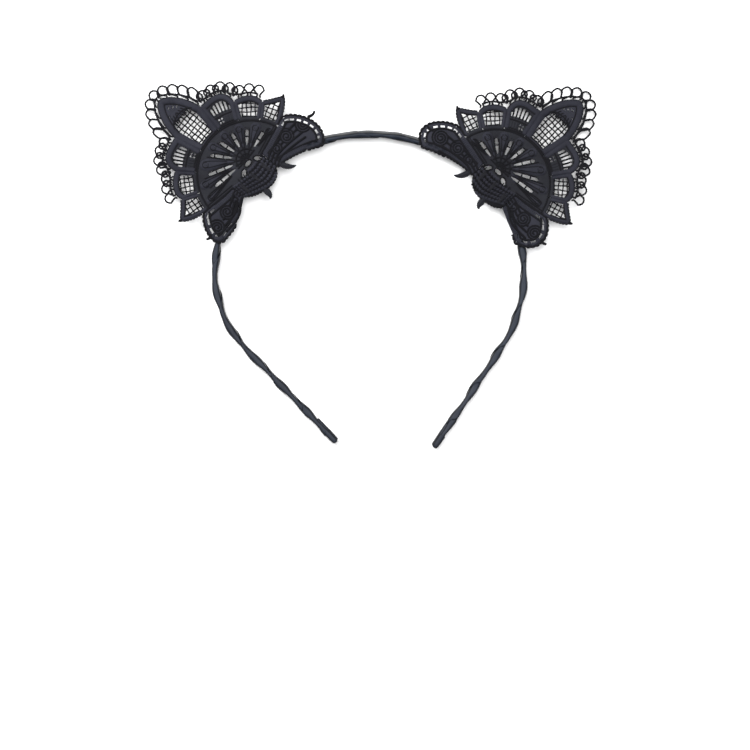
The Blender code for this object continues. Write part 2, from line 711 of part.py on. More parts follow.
def build_ear(side, frame, lace, net, cord, sewing):
    mirror = 1.0 if side == "left" else -1.0
    seat, fold = ear_frames(side, frame)
    from_fold = (0, -HINGE_OUT, 0)
    tag = "_" + side
    edges = petal_edges()
    place(fan_plate("fan" + tag, mirror), fold, lace, from_fold)
    petals = [("tip", "petal_tip", BORDER)]
    for half in ("inner", "outer"):
        name = "side_" + half
        place(side_petal("petal_" + name + tag, edges[name], mirror), fold, lace, from_fold)
        petals.append(("mid", "petal_mid_" + half, BORDER))
        petals.append(("end", "petal_end_" + half, THIN_BORDER))
    for kind, name, border in petals:
        edge = edges[name.removeprefix("petal_")]
        flank = FLANK[kind]
        frame_plate = petal_frame(name + tag, edge, mirror, border, flank)
        place(frame_plate, fold, lace, from_fold)
        place(petal_net(name + "_net" + tag, edge, mirror, border, flank), fold, net, from_fold)
    place(picot_plate("picot_edging" + tag, mirror), fold, cord, from_fold)
    place(base_plate("base_band" + tag, side, mirror), seat, lace)
    for end in ("upper", "lower"):
        place(wing_plate("wing_" + end + tag, end, side, mirror), seat, lace)
    for which in BARBS:
        place(barb_plate("barb_" + which + tag, which, side, mirror), seat, cord)
    for name, feet in stitch_holes(side, mirror).items():
        place(stitch("stitch_" + name + tag, feet), seat, sewing)


# ---------------------------------------------------------------- whole part

def world_box():
    bpy.context.view_layer.update()
    graph = bpy.context.evaluated_depsgraph_get()
    corners = []
    for thing in bpy.data.collections[COLLECTION].objects:
        if thing.type == "EMPTY":
            continue
        solid = thing.evaluated_get(graph)
        mesh = solid.to_mesh()
        corners += [solid.matrix_world @ vertex.co for vertex in mesh.vertices]
        solid.to_mesh_clear()
    low = Vector([min(point[k] for point in corners) for k in range(3)])
    high = Vector([max(point[k] for point in corners) for k in range(3)])
    return low, high


def centre_on_origin(frame):
    """Move the whole part so that the origin is under the middle of its box."""
    low, high = world_box()
    frame.location = (-(low.x + high.x) / 2, -(low.y + high.y) / 2, -low.z)
    bpy.context.view_layer.update()


def main():
    clear_scene()
    new_collection(COLLECTION)
    new_collection(GUIDES)
    steel = material("spring_steel", (0.42, 0.43, 0.45), 0.35, 1.0)
    ribbon = material("satin_ribbon", (0.035, 0.040, 0.048), 0.42)
    lace = material("lace_embroidery", (0.018, 0.018, 0.024), 0.75)
    net = material("lace_net", (0.014, 0.014, 0.018), 0.80)
    cord = material("lace_cord", (0.016, 0.016, 0.020), 0.70)
    sewing = material("sewing_thread", (0.020, 0.020, 0.024), 0.60)
    frame = empty("headband", None, (0, 0, 0))
    build_hoop(frame, steel, ribbon)
    for side in SIDES:
        build_ear(side, frame, lace, net, cord, sewing)
    centre_on_origin(frame)


main()
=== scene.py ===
import json
import math

import bmesh
import bpy
import numpy as np
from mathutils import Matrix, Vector


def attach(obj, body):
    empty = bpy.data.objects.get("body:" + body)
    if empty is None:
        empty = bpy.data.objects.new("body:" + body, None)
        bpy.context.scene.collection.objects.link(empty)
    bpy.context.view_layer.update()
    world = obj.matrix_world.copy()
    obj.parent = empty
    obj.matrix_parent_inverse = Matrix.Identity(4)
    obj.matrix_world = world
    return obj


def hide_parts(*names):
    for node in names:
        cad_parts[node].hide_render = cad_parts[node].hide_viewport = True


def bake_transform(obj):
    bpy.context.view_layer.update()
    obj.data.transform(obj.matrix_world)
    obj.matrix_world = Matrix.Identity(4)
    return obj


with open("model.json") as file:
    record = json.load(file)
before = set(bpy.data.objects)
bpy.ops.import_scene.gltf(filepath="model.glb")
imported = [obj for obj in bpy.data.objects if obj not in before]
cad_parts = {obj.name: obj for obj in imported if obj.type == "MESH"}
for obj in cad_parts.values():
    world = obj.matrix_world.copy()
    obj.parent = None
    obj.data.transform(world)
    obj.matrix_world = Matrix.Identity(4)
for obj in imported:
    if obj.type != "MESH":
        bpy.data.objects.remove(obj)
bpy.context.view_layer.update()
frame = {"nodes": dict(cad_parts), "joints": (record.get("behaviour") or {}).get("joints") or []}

MM = 0.001
SIDES = ("left", "right")

# ---- sizes, in millimetres

CENTRE_IN = 2.2         # the ear's centre lies this far inside its fold line
FOLD_SOFTNESS = 4.0     # the lace turns down over this distance on both sides of the fold line
RIPPLE = 0.3            # how far the petals wave up and down
RIPPLE_START = 18.0     # the waves grow from this distance from the ear's centre ...
RIPPLE_GROWTH = 26.0    # ... to their full height over this distance
RIPPLE_WAVES = 9.0      # waves a radian round the ear
RIPPLE_SWIRL = 0.11     # how much they turn with each millimetre outwards

CORD = 0.42             # radius of a laid cord
NET_THREAD = 0.27
PICOT_THREAD = 0.42
TOOTH_PITCH = 1.35
WEAVE = 0.17            # how far crossing net threads pass over and under each other
WANDER = 0.12           # how far a net thread strays from a straight line
SHORTEST_THREAD = 0.7
SATIN_HEIGHT = 0.62     # half thickness of a satin-stitched border
SATIN_RIDGE = (0.09, 0.62, 1)       # depth, pitch and slant of the stitches
CORD_TWIST = (0.16, 1.15, 2)
THREAD_TWIST = (0.16, 0.95, 2)
TOOTH_TWIST = (0.08, 0.5, 1)
GROUND = 0.5            # thickness of the densely stitched ground
SATIN_STEP = 0.155      # distance between the points of a stitched band
TOOTH_STEP = 0.16
THREAD_STEP = 0.24
WELD = 1e-3             # corners closer than this are one

# Cords and threads: radius, and lift off the plan
EDGE_CORD = (0.3, 0.1)              # along a petal's outer edge
INNER_CORD = (0.34, 0.12)           # along the inside of its border
TIP_CORD = (0.34, 0.1)
ARCH_CORD = (0.42, 0.1)
SLIT_CORD = (0.36, 0.05)
HOLE_CORD = (0.36, 0.15)
RIM_CORD = (0.48, 0.12)
FAN_SIDE_CORD = (0.5, 0.12)
FAN_SIDE_INNER = (0.38, 0.12)
HUB_CORD = (0.42, 0.2)
BINDING_CORD = (0.36, 0.34)
RIB_CORD = (0.36, 0.14)
RIB_SEAM = (0.26, 0.56)
WING_CORD = (0.46, 0.22)
SCROLL_CORD = (0.42, 0.22)
EYE_CORD = (0.4, 0.2)
BARB_CORD = (0.3, 0.42)
RUNG_THREAD = (0.28, 0.75)
BUTTONHOLE_THREAD = (0.33, 0.24)
# Satin bands: half width, half height, how far the ends are rounded off, and lift
PETAL_FOOT = (0.85, 0.5, 0.6)
SIDE_BAR = (0.5, 0.5, 0.5)
BASE_BAND = (0.66, 0.62, 0.4, 0.3)
WING_BAND = (0.55, 0.6, 0.4, 0.2)
# Toothed cords: radius, height of the teeth, and their pitch
LIP_TEETH = (0.46, 0.3)
RIM_TEETH = (0.5, 0.95, 1.9)
HOOP_SIDE_TEETH = (0.48, 0.3, 1.6)

HUB = (3.6, 5.2)        # where the fan's cords run together
HUB_HOLE = (1.65, 0.95)             # half length and half width
HUB_HOLES = ((7.1, 1.9, -50), (2.8, 3.7, 0), (-1.6, 2.3, 32))       # place and turn
SLIT_ANGLES = (81, 51, 21, -6, -32, -61, -80)       # directions from the hub, in degrees
RIB_EDGES = (97,) + SLIT_ANGLES + (-93,)
SLIT_SPAN = (6.4, 17.6)
SLIT_BARS = (10.2, 14.0)            # threads cross each slit at these distances from the hub
RIB_START = 4.2
FAN_SIDE = 79.5         # direction of the cords at the fan's two sides, in degrees
FAN_FOOT = -2.0         # the fan's ground reaches in to here

BORDER = {"tip": 3.0, "side": 2.6, "mid": 2.4, "end": 1.5}      # width of the stitched border
FLANK = {"tip": 2.4, "side": 1.7, "mid": 1.2, "end": 1.2}       # its width down a petal's sides
NET_INSET = {"tip": 3.5, "mid": 2.3, "end": 1.5}
NET_PITCH = {"tip": 1.95, "mid": 1.9, "end": 2.0}
NET_OFFSET = {"mid": (0.5, 0.3), "end": (0.4, 0.2)}
TIP_NET_END = 40.2
TIP_HOLE = (0.62, 0.42)
TIP_HOLES = ((-0.6, 45.9, 0.5), (0.95, 44.8, 0.5), (2.4, 43.7, 0.5), (-3.4, 43.2, -0.3))
TIP_ARCH = ((-6.6, 37.6), (-4.0, 40.0), (0.0, 40.9), (4.0, 40.0), (6.6, 37.6))
TIP_ARCHES = (4.2, 5.4, 6.6)        # cords over the tip's ground, measured in from its edge
TIP_ARCHES_END = 42.4
SIDE_SLITS = 6
SIDE_SLIT_FOOT = 29.6
SIDE_SLIT_TOP = 31.9
SIDE_CORD_FOOT = 28.8
SIDE_ARCS = (24.6, 28.3)            # cords across a side petal, from the ear's centre
SIDE_HOLES = (25.6, 27.1)           # two rows of small holes between those cords
SIDE_BARS = (24.9, 27.9)            # satin bars beside them run between these distances

LOW_LOOPS = (15, 48)    # low loops fill in between these directions, in degrees from the tip
LOOP_WIDTH = 2.15

RIBBON_PITCH = 19.0     # length of hoop that one turn of ribbon covers
RIBBON_OVERLAP = 1.16   # the ribbon's width along the hoop, in turns
RIBBON_CLOTH = 0.2
RIBBON_FIRST = 0.15     # the lowest layer stands this far off the strip
RIBBON_RISE = 0.42      # how far an overlapping edge stands above the edge it covers
RIBBON_CREASE = 0.05
RIBBON_BULGE = 0.74     # how far the ribbon puffs out from the strip's flat sides
RIBBON_BULGE_CROWN = 0.3
RIBBON_BEAT = 15.5      # distance from one puff to the next
INNER_LAG = 0.6         # the inner side's puffs come later by this angle
CROWN_LEAN = 0.09       # a strip leaning this much or more has the crown's bulge
STRIP_HALF_THICKNESS = 0.72
STRIP_HALF_WIDTH = 2.33
SEAM_INSIDE = 9.0       # the arm's ribbon starts this far inside the crown, under the lace
SHOULDER_BEND = 5.5     # points this far on both sides of a shoulder are worked out; the ribbon is not bent there
SECTION_REACH = 4.6     # corners of one section of the strip lie this close to each other ...
SECTION_HALF = 2.4      # ... and this close to its middle

# ---- stage, in metres

CAMERA_PLACE = (0.0019, -0.0473, 0.7665)        # it looks straight down
FLOOR_SIZE = 6.0
FLOOR_GAP = 0.0002      # keeps the floor just clear of the ribbon ends


# ---- lines

def units(vectors):
    """The same directions with length one."""
    return vectors / np.linalg.norm(vectors, axis=-1, keepdims=True)


def lengths_along(line):
    return np.concatenate([[0.0], np.cumsum(np.linalg.norm(np.diff(line, axis=0), axis=1))])


def evenly(line, step, closed=False):
    """The same line with points about one step apart."""
    line = np.asarray(line, float)
    if closed:
        line = np.vstack([line, line[:1]])
    along = lengths_along(line)
    at = np.linspace(0, along[-1], max(3, round(along[-1] / step) + 1))
    even = np.stack([np.interp(at, along, line[:, k]) for k in range(line.shape[1])], axis=1)
    return even[:-1] if closed else even


def smooth(points, step, closed=False):
    """A rounded line through the points."""
    p = np.asarray(points, float)
    if closed:
        p = np.vstack([p[-1:], p, p[:2]])
    else:
        p = np.vstack([2 * p[0] - p[1], p, 2 * p[-1] - p[-2]])
    t = np.linspace(0, 1, 12, endpoint=False)[:, None]
    parts = []
    for a, b, c, d in zip(p, p[1:], p[2:], p[3:]):
        parts.append(0.5 * (2 * b + (c - a) * t + (2 * a - 5 * b + 4 * c - d) * t ** 2
                            + (3 * b - a - 3 * c + d) * t ** 3))
    if not closed:
        parts.append(p[-2:-1])
    return evenly(np.vstack(parts), step, closed)


def left_of(line, closed=False):
    """Unit vectors square to a flat line, on its left."""
    if closed:
        way = np.roll(line[:, :2], -1, 0) - np.roll(line[:, :2], 1, 0)
    else:
        way = np.gradient(line[:, :2], axis=0)
    way /= np.maximum(np.linalg.norm(way, axis=1, keepdims=True), 1e-9)
    return np.stack([-way[:, 1], way[:, 0]], axis=1)


def shifted(line, distance, closed=False):
    """The line moved sideways to its left."""
    return line[:, :2] + left_of(line, closed) * distance


def polar(angle, radius):
    """The place in a direction from the ear's centre; angle 0 points out and positive leans across."""
    return np.array([radius * math.sin(angle), radius * math.cos(angle)])


def inside(points, loop):
    """Which points lie inside a closed flat outline."""
    x, y = points[:, 0:1], points[:, 1:2]
    a, b = loop, np.roll(loop, -1, 0)
    crosses = (a[:, 1] > y) != (b[:, 1] > y)
    at = (b[:, 0] - a[:, 0]) * (y - a[:, 1]) / (b[:, 1] - a[:, 1] + 1e-12) + a[:, 0]
    return (crosses & (x < at)).sum(1) % 2 == 1


def runs(line, keep, shortest):
    """The stretches of a line whose points are kept."""
    found = []
    start = None
    for i, kept in enumerate(list(keep) + [False]):
        if kept and start is None:
            start = i
        if not kept and start is not None:
            if i - start > 2 and lengths_along(line[start:i, :2])[-1] > shortest:
                found.append(line[start:i])
            start = None
    return found


def signed_area(loop):
    x, y = loop[:, 0], loop[:, 1]
    return 0.5 * float(np.sum(x * np.roll(y, -1) - np.roll(x, -1) * y))


def ellipse(centre, half, turn, count=14):
    angles = np.linspace(0, 2 * math.pi, count, endpoint=False)
    c, s = math.cos(turn), math.sin(turn)
    x, y = half[0] * np.cos(angles), half[1] * np.sin(angles)
    return np.stack([centre[0] + c * x - s * y, centre[1] + s * x + c * y], axis=1)


def grown(loop, factor):
    """An outline drawn larger about its middle."""
    return (loop - loop.mean(0)) * factor + loop.mean(0)


def angles_of(line):
    return np.arctan2(line[:, 0], line[:, 1])


# ---- the ear's plan

class Ear:
    """The plan of one ear, and the way it lies on the hoop."""

    def __init__(self, side):
        self.side = side
        joint = next(j for j in frame["joints"] if j["name"] == f"ear_{side}_fold")
        axis = np.array(joint["axis"], float)
        self.mirror = 1.0 if side == "left" else -1.0
        self.across = axis * self.mirror
        self.out = np.array([-axis[1], axis[0], 0.0])
        self.up = np.array([0.0, 0.0, 1.0])
        self.fold = np.array(joint["pos_m"], float)
        self.centre = self.fold - self.out * CENTRE_IN * MM
        self.droop = self.measured_droop()
        self.fan_radius = max(np.hypot(*self.loops("fan")[0].T))

    def node(self, name):
        return f"{name}_{self.side}"

    def measured_droop(self):
        """How far the CAD's flat ear is turned down at the fold line."""
        mesh = frame["nodes"][self.node("fan")].data
        flat = max(mesh.polygons, key=lambda face: face.area * abs(face.normal.z))
        return math.acos(min(1.0, abs(flat.normal.z)))

    def unlay(self, points, turned):
        """Plan coordinates of world points on the ear's flat, turned-down plate or its base."""
        droop = self.droop if turned else 0.0
        along = self.out * math.cos(droop) - self.up * math.sin(droop)
        square = self.out * math.sin(droop) + self.up * math.cos(droop)
        away = (points - self.fold) / MM
        return np.stack([away @ self.across, away @ along + CENTRE_IN, away @ square], axis=-1)

    def loops(self, name, turned=True):
        """Outlines of a flat CAD plate in plan: its edge first, then its holes."""
        mesh = frame["nodes"][self.node(name)].data
        plan = self.unlay(np.array([v.co for v in mesh.vertices], float), turned)
        top = plan[:, 2].max()
        keys = [tuple(p) for p in np.round(plan, 2)]
        directed = set()
        for face in mesh.polygons:
            if all(plan[v, 2] > 0.5 * top for v in face.vertices):
                around = [keys[v] for v in face.vertices]
                directed.update((a, b) for a, b in zip(around, around[1:] + around[:1]) if a != b)
        ahead = {a: b for a, b in directed if (b, a) not in directed}
        found = []
        while ahead:
            point, after = ahead.popitem()
            loop = [point]
            while after in ahead:
                loop.append(after)
                after = ahead.pop(after)
            found.append(np.array([p[:2] for p in loop]))
        found.sort(key=lambda loop: -abs(signed_area(loop)))
        return [loop if signed_area(loop) > 0 else loop[::-1] for loop in found]

    def lay(self, plan):
        """World places of plan points, on the lace as it lies."""
        across, out, height = plan[..., 0], plan[..., 1], plan[..., 2]
        run = out - CENTRE_IN
        soft = FOLD_SOFTNESS
        curved = (run + soft) ** 2 / (4 * soft)
        bent = np.where(run < -soft, 0.0, np.where(run < soft, curved, run))
        slope = self.droop * np.clip((run + soft) / (2 * soft), 0, 1)
        angle = np.arctan2(across, np.maximum(out, 0.1))
        radius = np.hypot(across, out)
        grow = np.clip((radius - RIPPLE_START) / RIPPLE_GROWTH, 0, 1) ** 1.5
        phase = RIPPLE_WAVES * angle + RIPPLE_SWIRL * radius + 2.0 * self.mirror
        height = height + RIPPLE * grow * np.sin(phase)
        along = out - (1 - math.cos(self.droop)) * bent + height * np.sin(slope)
        rise = -math.sin(self.droop) * bent + height * np.cos(slope)
        return self.centre + MM * (across[..., None] * self.across + along[..., None] * self.out
                                   + rise[..., None] * self.up)

    def spot(self, out):
        """The world place of a point on the ear's middle line."""
        return tuple(self.lay(np.array([0.0, out, 0.0])))


# ---- thread and ground geometry

class Piece:
    """The threads and plates of one piece, gathered before they become a mesh."""

    def __init__(self, ear=None):
        self.ear = ear
        self.points = []
        self.faces = []
        self.kinds = []
        self.count = 0

    def add(self, points, faces, kind=0):
        self.points.append(points.reshape(-1, 3))
        self.faces += [[i + self.count for i in face] for face in faces]
        self.kinds += [kind] * len(faces)
        self.count += len(self.points[-1])

    def mesh(self, name, materials):
        points, faces = np.vstack(self.points), self.faces
        if self.ear:
            points = self.ear.lay(points)
            if self.ear.mirror < 0:
                faces = [face[::-1] for face in faces]
        mesh = bpy.data.meshes.new(name)
        mesh.from_pydata(points.tolist(), [], faces)
        for mat in materials:
            mesh.materials.append(mat)
        mesh.polygons.foreach_set("material_index", np.array(self.kinds, np.int32))
        mesh.polygons.foreach_set("use_smooth", np.ones(len(faces), bool))
        mesh.update()
        thing = bpy.data.objects.new(name, mesh)
        bpy.context.scene.collection.objects.link(thing)
        return thing


def grid_faces(rows, columns, closed):
    """Quads between rings of points, as lists of their corners."""
    i = np.arange(rows if closed else rows - 1)[:, None]
    j = np.arange(columns)[None, :]
    after_i, after_j = (i + 1) % rows, (j + 1) % columns
    quads = np.stack([i * columns + j, i * columns + after_j,
                      after_i * columns + after_j, after_i * columns + j], axis=-1)
    return quads.reshape(-1, 4).tolist()


def tube_faces(rows, sides):
    """The quads of a tube, and a face over each of its ends."""
    last = (rows - 1) * sides
    ends = [list(range(sides))[::-1], [last + j for j in range(sides)]]
    return grid_faces(rows, sides, False) + ends


def rounding(along, reach, least=0.2):
    """A factor that rounds off both ends of a swept shape."""
    nearest = np.minimum(along, along[-1] - along)
    share = np.clip(nearest / reach, 0, 1)
    return np.maximum(least, np.sqrt(1 - (1 - share) ** 2))


def sweep(piece, line, width, height, sides, ridge, lift=0.0, closed=False, ends=None, kind=0):
    """A thread or a stitched band along a line in plan; width and height are half sizes."""
    line = np.asarray(line, float)
    side_way = left_of(line, closed)
    around = np.vstack([line, line[:1]]) if closed else line
    along = lengths_along(around[:, :2])
    total = along[-1]
    along = along[:len(line)]
    width = np.broadcast_to(width, len(line)).astype(float)
    height = np.broadcast_to(height, len(line)).astype(float)
    if ends:
        width = width * rounding(along, ends)
        height = height * rounding(along, ends, 0.35)
    turn = np.arange(sides) * 2 * math.pi / sides
    depth, pitch, slant = ridge
    if closed:
        pitch = total / max(1, round(total / pitch))
    swell = 1.0 + depth * np.cos(2 * math.pi * along[:, None] / pitch + slant * turn)
    sideways = np.cos(turn) * width[:, None] * swell
    upward = np.sin(turn) * height[:, None] * swell + lift
    if line.shape[1] > 2:
        upward = upward + line[:, 2:3]
    points = np.empty((len(line), sides, 3))
    points[..., :2] = line[:, None, :2] + side_way[:, None, :] * sideways[..., None]
    points[..., 2] = upward
    faces = grid_faces(len(line), sides, True) if closed else tube_faces(len(line), sides)
    piece.add(points, faces, kind)


def satin(piece, line, width, height, ends, lift=0.0, kind=0):
    """A band of satin stitch."""
    sweep(piece, evenly(line, SATIN_STEP), width, height, 10, SATIN_RIDGE, lift, False, ends, kind)


def cord(piece, line, radius=CORD, lift=0.0, closed=False, kind=1):
    sweep(piece, evenly(line, THREAD_STEP, closed), radius, radius, 8, CORD_TWIST, lift, closed,
          radius, kind)


def net_thread(piece, line, radius=NET_THREAD, lift=0.0, kind=1):
    sweep(piece, evenly(line, THREAD_STEP), radius, radius, 6, THREAD_TWIST, lift, False, None, kind)


def toothed(piece, line, radius, tooth, pitch=TOOTH_PITCH, kind=1):
    """A cord whose outer side carries a row of small knots."""
    line = evenly(line, TOOTH_STEP)
    knots = np.abs(np.sin(math.pi * lengths_along(line) / pitch)) ** 0.7
    out = -left_of(line) * (tooth * 0.5 * knots)[:, None]
    sweep(piece, line + out, radius * (0.75 + 0.45 * knots), radius * (0.8 + 0.3 * knots), 8,
          TOOTH_TWIST, 0.0, False, radius, kind)


def cut_in_grid(shell, step):
    """Cuts a flat plate's faces along both plan directions, so that it can bend."""
    for normal in (Vector((1, 0, 0)), Vector((0, 1, 0))):
        places = [v.co @ normal for v in shell.verts]
        for at in np.arange(math.ceil(min(places) / step) * step, max(places), step):
            bmesh.ops.bisect_plane(shell, geom=shell.verts[:] + shell.edges[:] + shell.faces[:],
                                   plane_co=normal * at, plane_no=normal, dist=0.1 * WELD)


def ground(piece, outlines, thickness=GROUND, step=2.0, kind=0):
    """A stitched ground: a thin plate inside the first outline, open at the others."""
    curve = bpy.data.curves.new("ground", "CURVE")
    curve.dimensions = "2D"
    curve.fill_mode = "BOTH"
    curve.extrude = thickness / 2
    for outline in outlines:
        spline = curve.splines.new("POLY")
        spline.points.add(len(outline) - 1)
        for knot, point in zip(spline.points, outline):
            knot.co = (point[0], point[1], 0, 1)
        spline.use_cyclic_u = True
    holder = bpy.data.objects.new("ground", curve)
    mesh = bpy.data.meshes.new_from_object(holder)
    shell = bmesh.new()
    shell.from_mesh(mesh)
    bmesh.ops.remove_doubles(shell, verts=shell.verts[:], dist=WELD)
    cut_in_grid(shell, step)
    bmesh.ops.recalc_face_normals(shell, faces=shell.faces[:])
    shell.verts.index_update()
    points = np.array([v.co for v in shell.verts], float)
    piece.add(points, [[v.index for v in face.verts] for face in shell.faces], kind)
    shell.free()
    bpy.data.meshes.remove(mesh)
    bpy.data.curves.remove(curve)


def net(piece, window, turn, pitch, radius, offset=(0.0, 0.0)):
    """Two families of threads that cross inside a window, one passing over the other."""
    middle = window.mean(0)
    reach = np.abs(window - middle).max() * 1.6
    for family in (0, 1):
        way = polar(turn + family * math.pi / 2, 1.0)
        square = np.array([-way[1], way[0]])
        for k in range(-20, 21):
            at = (k + offset[family]) * pitch
            if abs(at) > reach:
                continue
            t = np.arange(-reach, reach, 0.25)[:, None]
            weave = WEAVE * np.cos(math.pi * t / pitch + math.pi * (k + family))
            wander = WANDER * np.sin(t * 0.9 + 2.3 * k + family)
            line = middle + way * t + square * (at + wander)
            for run in runs(np.hstack([line, weave]), inside(line, window), SHORTEST_THREAD):
                net_thread(piece, run, radius)


# ---- materials

class Finish:
    """A material being built: its shader, and textures laid out in object coordinates."""

    def __init__(self, name, colour, roughness, **inputs):
        self.material = bpy.data.materials.new(name)
        self.material.use_nodes = True
        self.tree = self.material.node_tree
        self.shader = self.tree.nodes["Principled BSDF"]
        self.coords = self.node("ShaderNodeTexCoord")
        self.give(self.shader, Base_Color=(*colour, 1), Roughness=roughness, **inputs)

    def node(self, kind, **inputs):
        node = self.tree.nodes.new(kind)
        self.give(node, **inputs)
        return node

    def give(self, node, **inputs):
        """Sets inputs by name, with _ for a space: a value, or another node's output."""
        for name, value in inputs.items():
            socket = node.inputs[name.replace("_", " ")]
            if isinstance(value, bpy.types.NodeSocket):
                self.tree.links.new(value, socket)
            else:
                socket.default_value = value

    def texture(self, kind, scale, stretch=(1, 1, 1), **inputs):
        mapping = self.node("ShaderNodeMapping", Vector=self.coords.outputs["Object"], Scale=stretch)
        return self.node(f"ShaderNodeTex{kind}", Vector=mapping.outputs["Vector"], Scale=scale,
                         **inputs).outputs["Fac"]

    def ramp(self, factor, *stops):
        node = self.node("ShaderNodeValToRGB", Fac=factor)
        for element, (at, colour) in zip(node.color_ramp.elements, stops):
            element.position = at
            element.color = (*colour, 1)
        return node.outputs["Color"]

    def remap(self, factor, low, high):
        return self.node("ShaderNodeMapRange", Value=factor, To_Min=low, To_Max=high).outputs["Result"]

    def bump(self, distance, *heights):
        """Bump from several textures, each with its strength."""
        for factor, strength in heights:
            node = self.node("ShaderNodeBump", Strength=strength, Distance=distance, Height=factor)
            before = self.shader.inputs["Normal"].links
            if before:
                self.give(node, Normal=before[0].from_socket)
            self.give(self.shader, Normal=node.outputs["Normal"])


def thread_material(name, dark, light, roughness, sheen, fibre_scale):
    """Black embroidery thread: fine fibres, uneven dye, dull and shiny patches."""
    f = Finish(name, dark, roughness, Sheen_Weight=sheen, Sheen_Roughness=0.45,
               Sheen_Tint=(0.62, 0.66, 0.8, 1), Specular_IOR_Level=0.1)
    patches = f.texture("Noise", 90.0, Detail=4.0, Roughness=0.6)
    fibres = f.texture("Noise", fibre_scale, Detail=3.0, Roughness=0.7)
    strands = f.texture("Wave", fibre_scale * 0.45, Distortion=6.0, Detail=3.0)
    mix = f.node("ShaderNodeMath")
    mix.operation = "MULTIPLY_ADD"
    mix.inputs[1].default_value = 0.45
    f.tree.links.new(fibres, mix.inputs[0])
    f.tree.links.new(f.remap(patches, 0.0, 0.62), mix.inputs[2])
    f.give(f.shader, Base_Color=f.ramp(mix.outputs["Value"], (0.25, dark), (0.85, light)),
           Roughness=f.remap(fibres, roughness - 0.12, roughness + 0.14))
    f.bump(0.0002, (strands, 0.35), (fibres, 0.5))
    return f.material


def satin_material():
    """Black satin ribbon: fine ribs across it, a slate sheen, and painted shade that darkens it where
    it turns away from straight up.
    """
    f = Finish("satin_ribbon_cloth", (0.02, 0.022, 0.027), 0.42, Anisotropic=0.45,
               Specular_IOR_Level=0.14, Sheen_Weight=0.03, Sheen_Roughness=0.35,
               Sheen_Tint=(0.6, 0.7, 0.85, 1))
    weave = f.texture("Wave", 1500.0, (1, 1, 0.2), Distortion=1.5, Detail=2.0)
    crease = f.texture("Noise", 160.0, (1, 1, 0.5), Detail=5.0, Roughness=0.6)
    shade = f.texture("Noise", 45.0, Detail=3.0)
    dye = f.ramp(shade, (0.3, (0.008, 0.010, 0.016)), (0.7, (0.018, 0.023, 0.034)))
    upward = f.node("ShaderNodeSeparateXYZ", Vector=f.coords.outputs["Normal"]).outputs["Z"]
    # Painted shade: the colour drops to about an eighth where the surface's normal turns away from
    # straight up, so the ribbon's sides look shaded.
    painted_side_shade = f.ramp(upward, (0.72, (0.12, 0.12, 0.14)), (0.985, (1.0, 1.0, 1.0)))
    mix = f.node("ShaderNodeMix")
    mix.data_type = "RGBA"
    mix.blend_type = "MULTIPLY"
    mix.inputs[0].default_value = 1.0
    f.tree.links.new(dye, mix.inputs[6])
    f.tree.links.new(painted_side_shade, mix.inputs[7])
    f.give(f.shader, Base_Color=mix.outputs[2], Roughness=f.remap(crease, 0.33, 0.6))
    f.bump(0.0003, (crease, 0.35), (weave, 0.12))
    return f.material


def steel_material():
    """Rolled spring steel with fine lines along it and a few dull stains."""
    f = Finish("rolled_spring_steel", (0.42, 0.43, 0.45), 0.35, Metallic=1.0)
    lines = f.texture("Noise", 900.0, (0.08, 0.08, 1), Detail=4.0)
    stains = f.texture("Noise", 70.0, Detail=5.0, Roughness=0.65)
    f.give(f.shader, Roughness=f.remap(lines, 0.22, 0.5),
           Base_Color=f.ramp(stains, (0.35, (0.27, 0.27, 0.28)), (0.65, (0.47, 0.48, 0.5))))
    f.bump(0.0001, (lines, 0.25))
    return f.material


def floor_material():
    """A pale, matt floor with barely uneven tones."""
    f = Finish("pale_floor", (0.93, 0.93, 0.935), 0.75, Specular_IOR_Level=0.15)
    grain = f.texture("Noise", 6.0, Detail=2.0)
    f.give(f.shader, Base_Color=f.ramp(grain, (0.3, (0.925, 0.925, 0.93)), (0.7, (0.94, 0.94, 0.942))))
    return f.material


LACE, NET, FLOSS, LOOP, SEWING = (thread_material(*row) for row in (
    ("embroidery_thread", (0.004, 0.004, 0.006), (0.020, 0.021, 0.026), 0.7, 0.04, 2600.0),
    ("net_thread", (0.002, 0.002, 0.003), (0.007, 0.007, 0.009), 0.75, 0.02, 3600.0),
    ("satin_stitch_floss", (0.007, 0.007, 0.011), (0.026, 0.027, 0.037), 0.62, 0.05, 2800.0),
    ("loop_thread", (0.002, 0.002, 0.003), (0.008, 0.008, 0.010), 0.7, 0.03, 3200.0),
    ("sewing_thread", (0.006, 0.006, 0.008), (0.018, 0.018, 0.022), 0.6, 0.05, 3000.0)))
SATIN = satin_material()
STEEL = steel_material()


# ---- petals

def outer_edge(ear, name):
    """A petal's outer edge as a rounded line, and the directions of its two ends."""
    loop = ear.loops(name)[0]
    angle = angles_of(loop)
    high = np.hypot(*loop.T) > ear.fan_radius + 1.2
    edge = smooth(loop[high][np.argsort(angle[high])], 0.3)
    return edge, angles_of(edge[[0, -1]])


def stitched_border(piece, ear, edge, kind, teeth=0.0):
    """The satin border over the top of a petal and down both its sides."""
    border, flank = BORDER[kind], FLANK[kind] + 0.45
    middle = shifted(edge, -border / 2)
    low = ear.fan_radius + 0.5
    shy = (flank / 2 - 0.2) / low
    first, last = angles_of(edge[[0, -1]])
    path = evenly(np.vstack([polar(first + shy, low), middle, polar(last - shy, low)]), SATIN_STEP)
    along = lengths_along(path)
    side_run = np.hypot(*(path[0] - middle[0]))
    share = np.clip((np.minimum(along, along[-1] - along) - side_run + 1.5) / 3.0, 0, 1)
    width = flank / 2 + (border - flank) / 2 * share * share * (3 - 2 * share)
    sweep(piece, path, width, SATIN_HEIGHT, 12, SATIN_RIDGE, 0.0, False, 0.6, 2)
    if teeth:
        toothed(piece, edge[::-1], 0.4, teeth, kind=0)
    else:
        cord(piece, shifted(edge, -0.2), *EDGE_CORD)
    cord(piece, shifted(edge, -border - 0.05), *INNER_CORD)


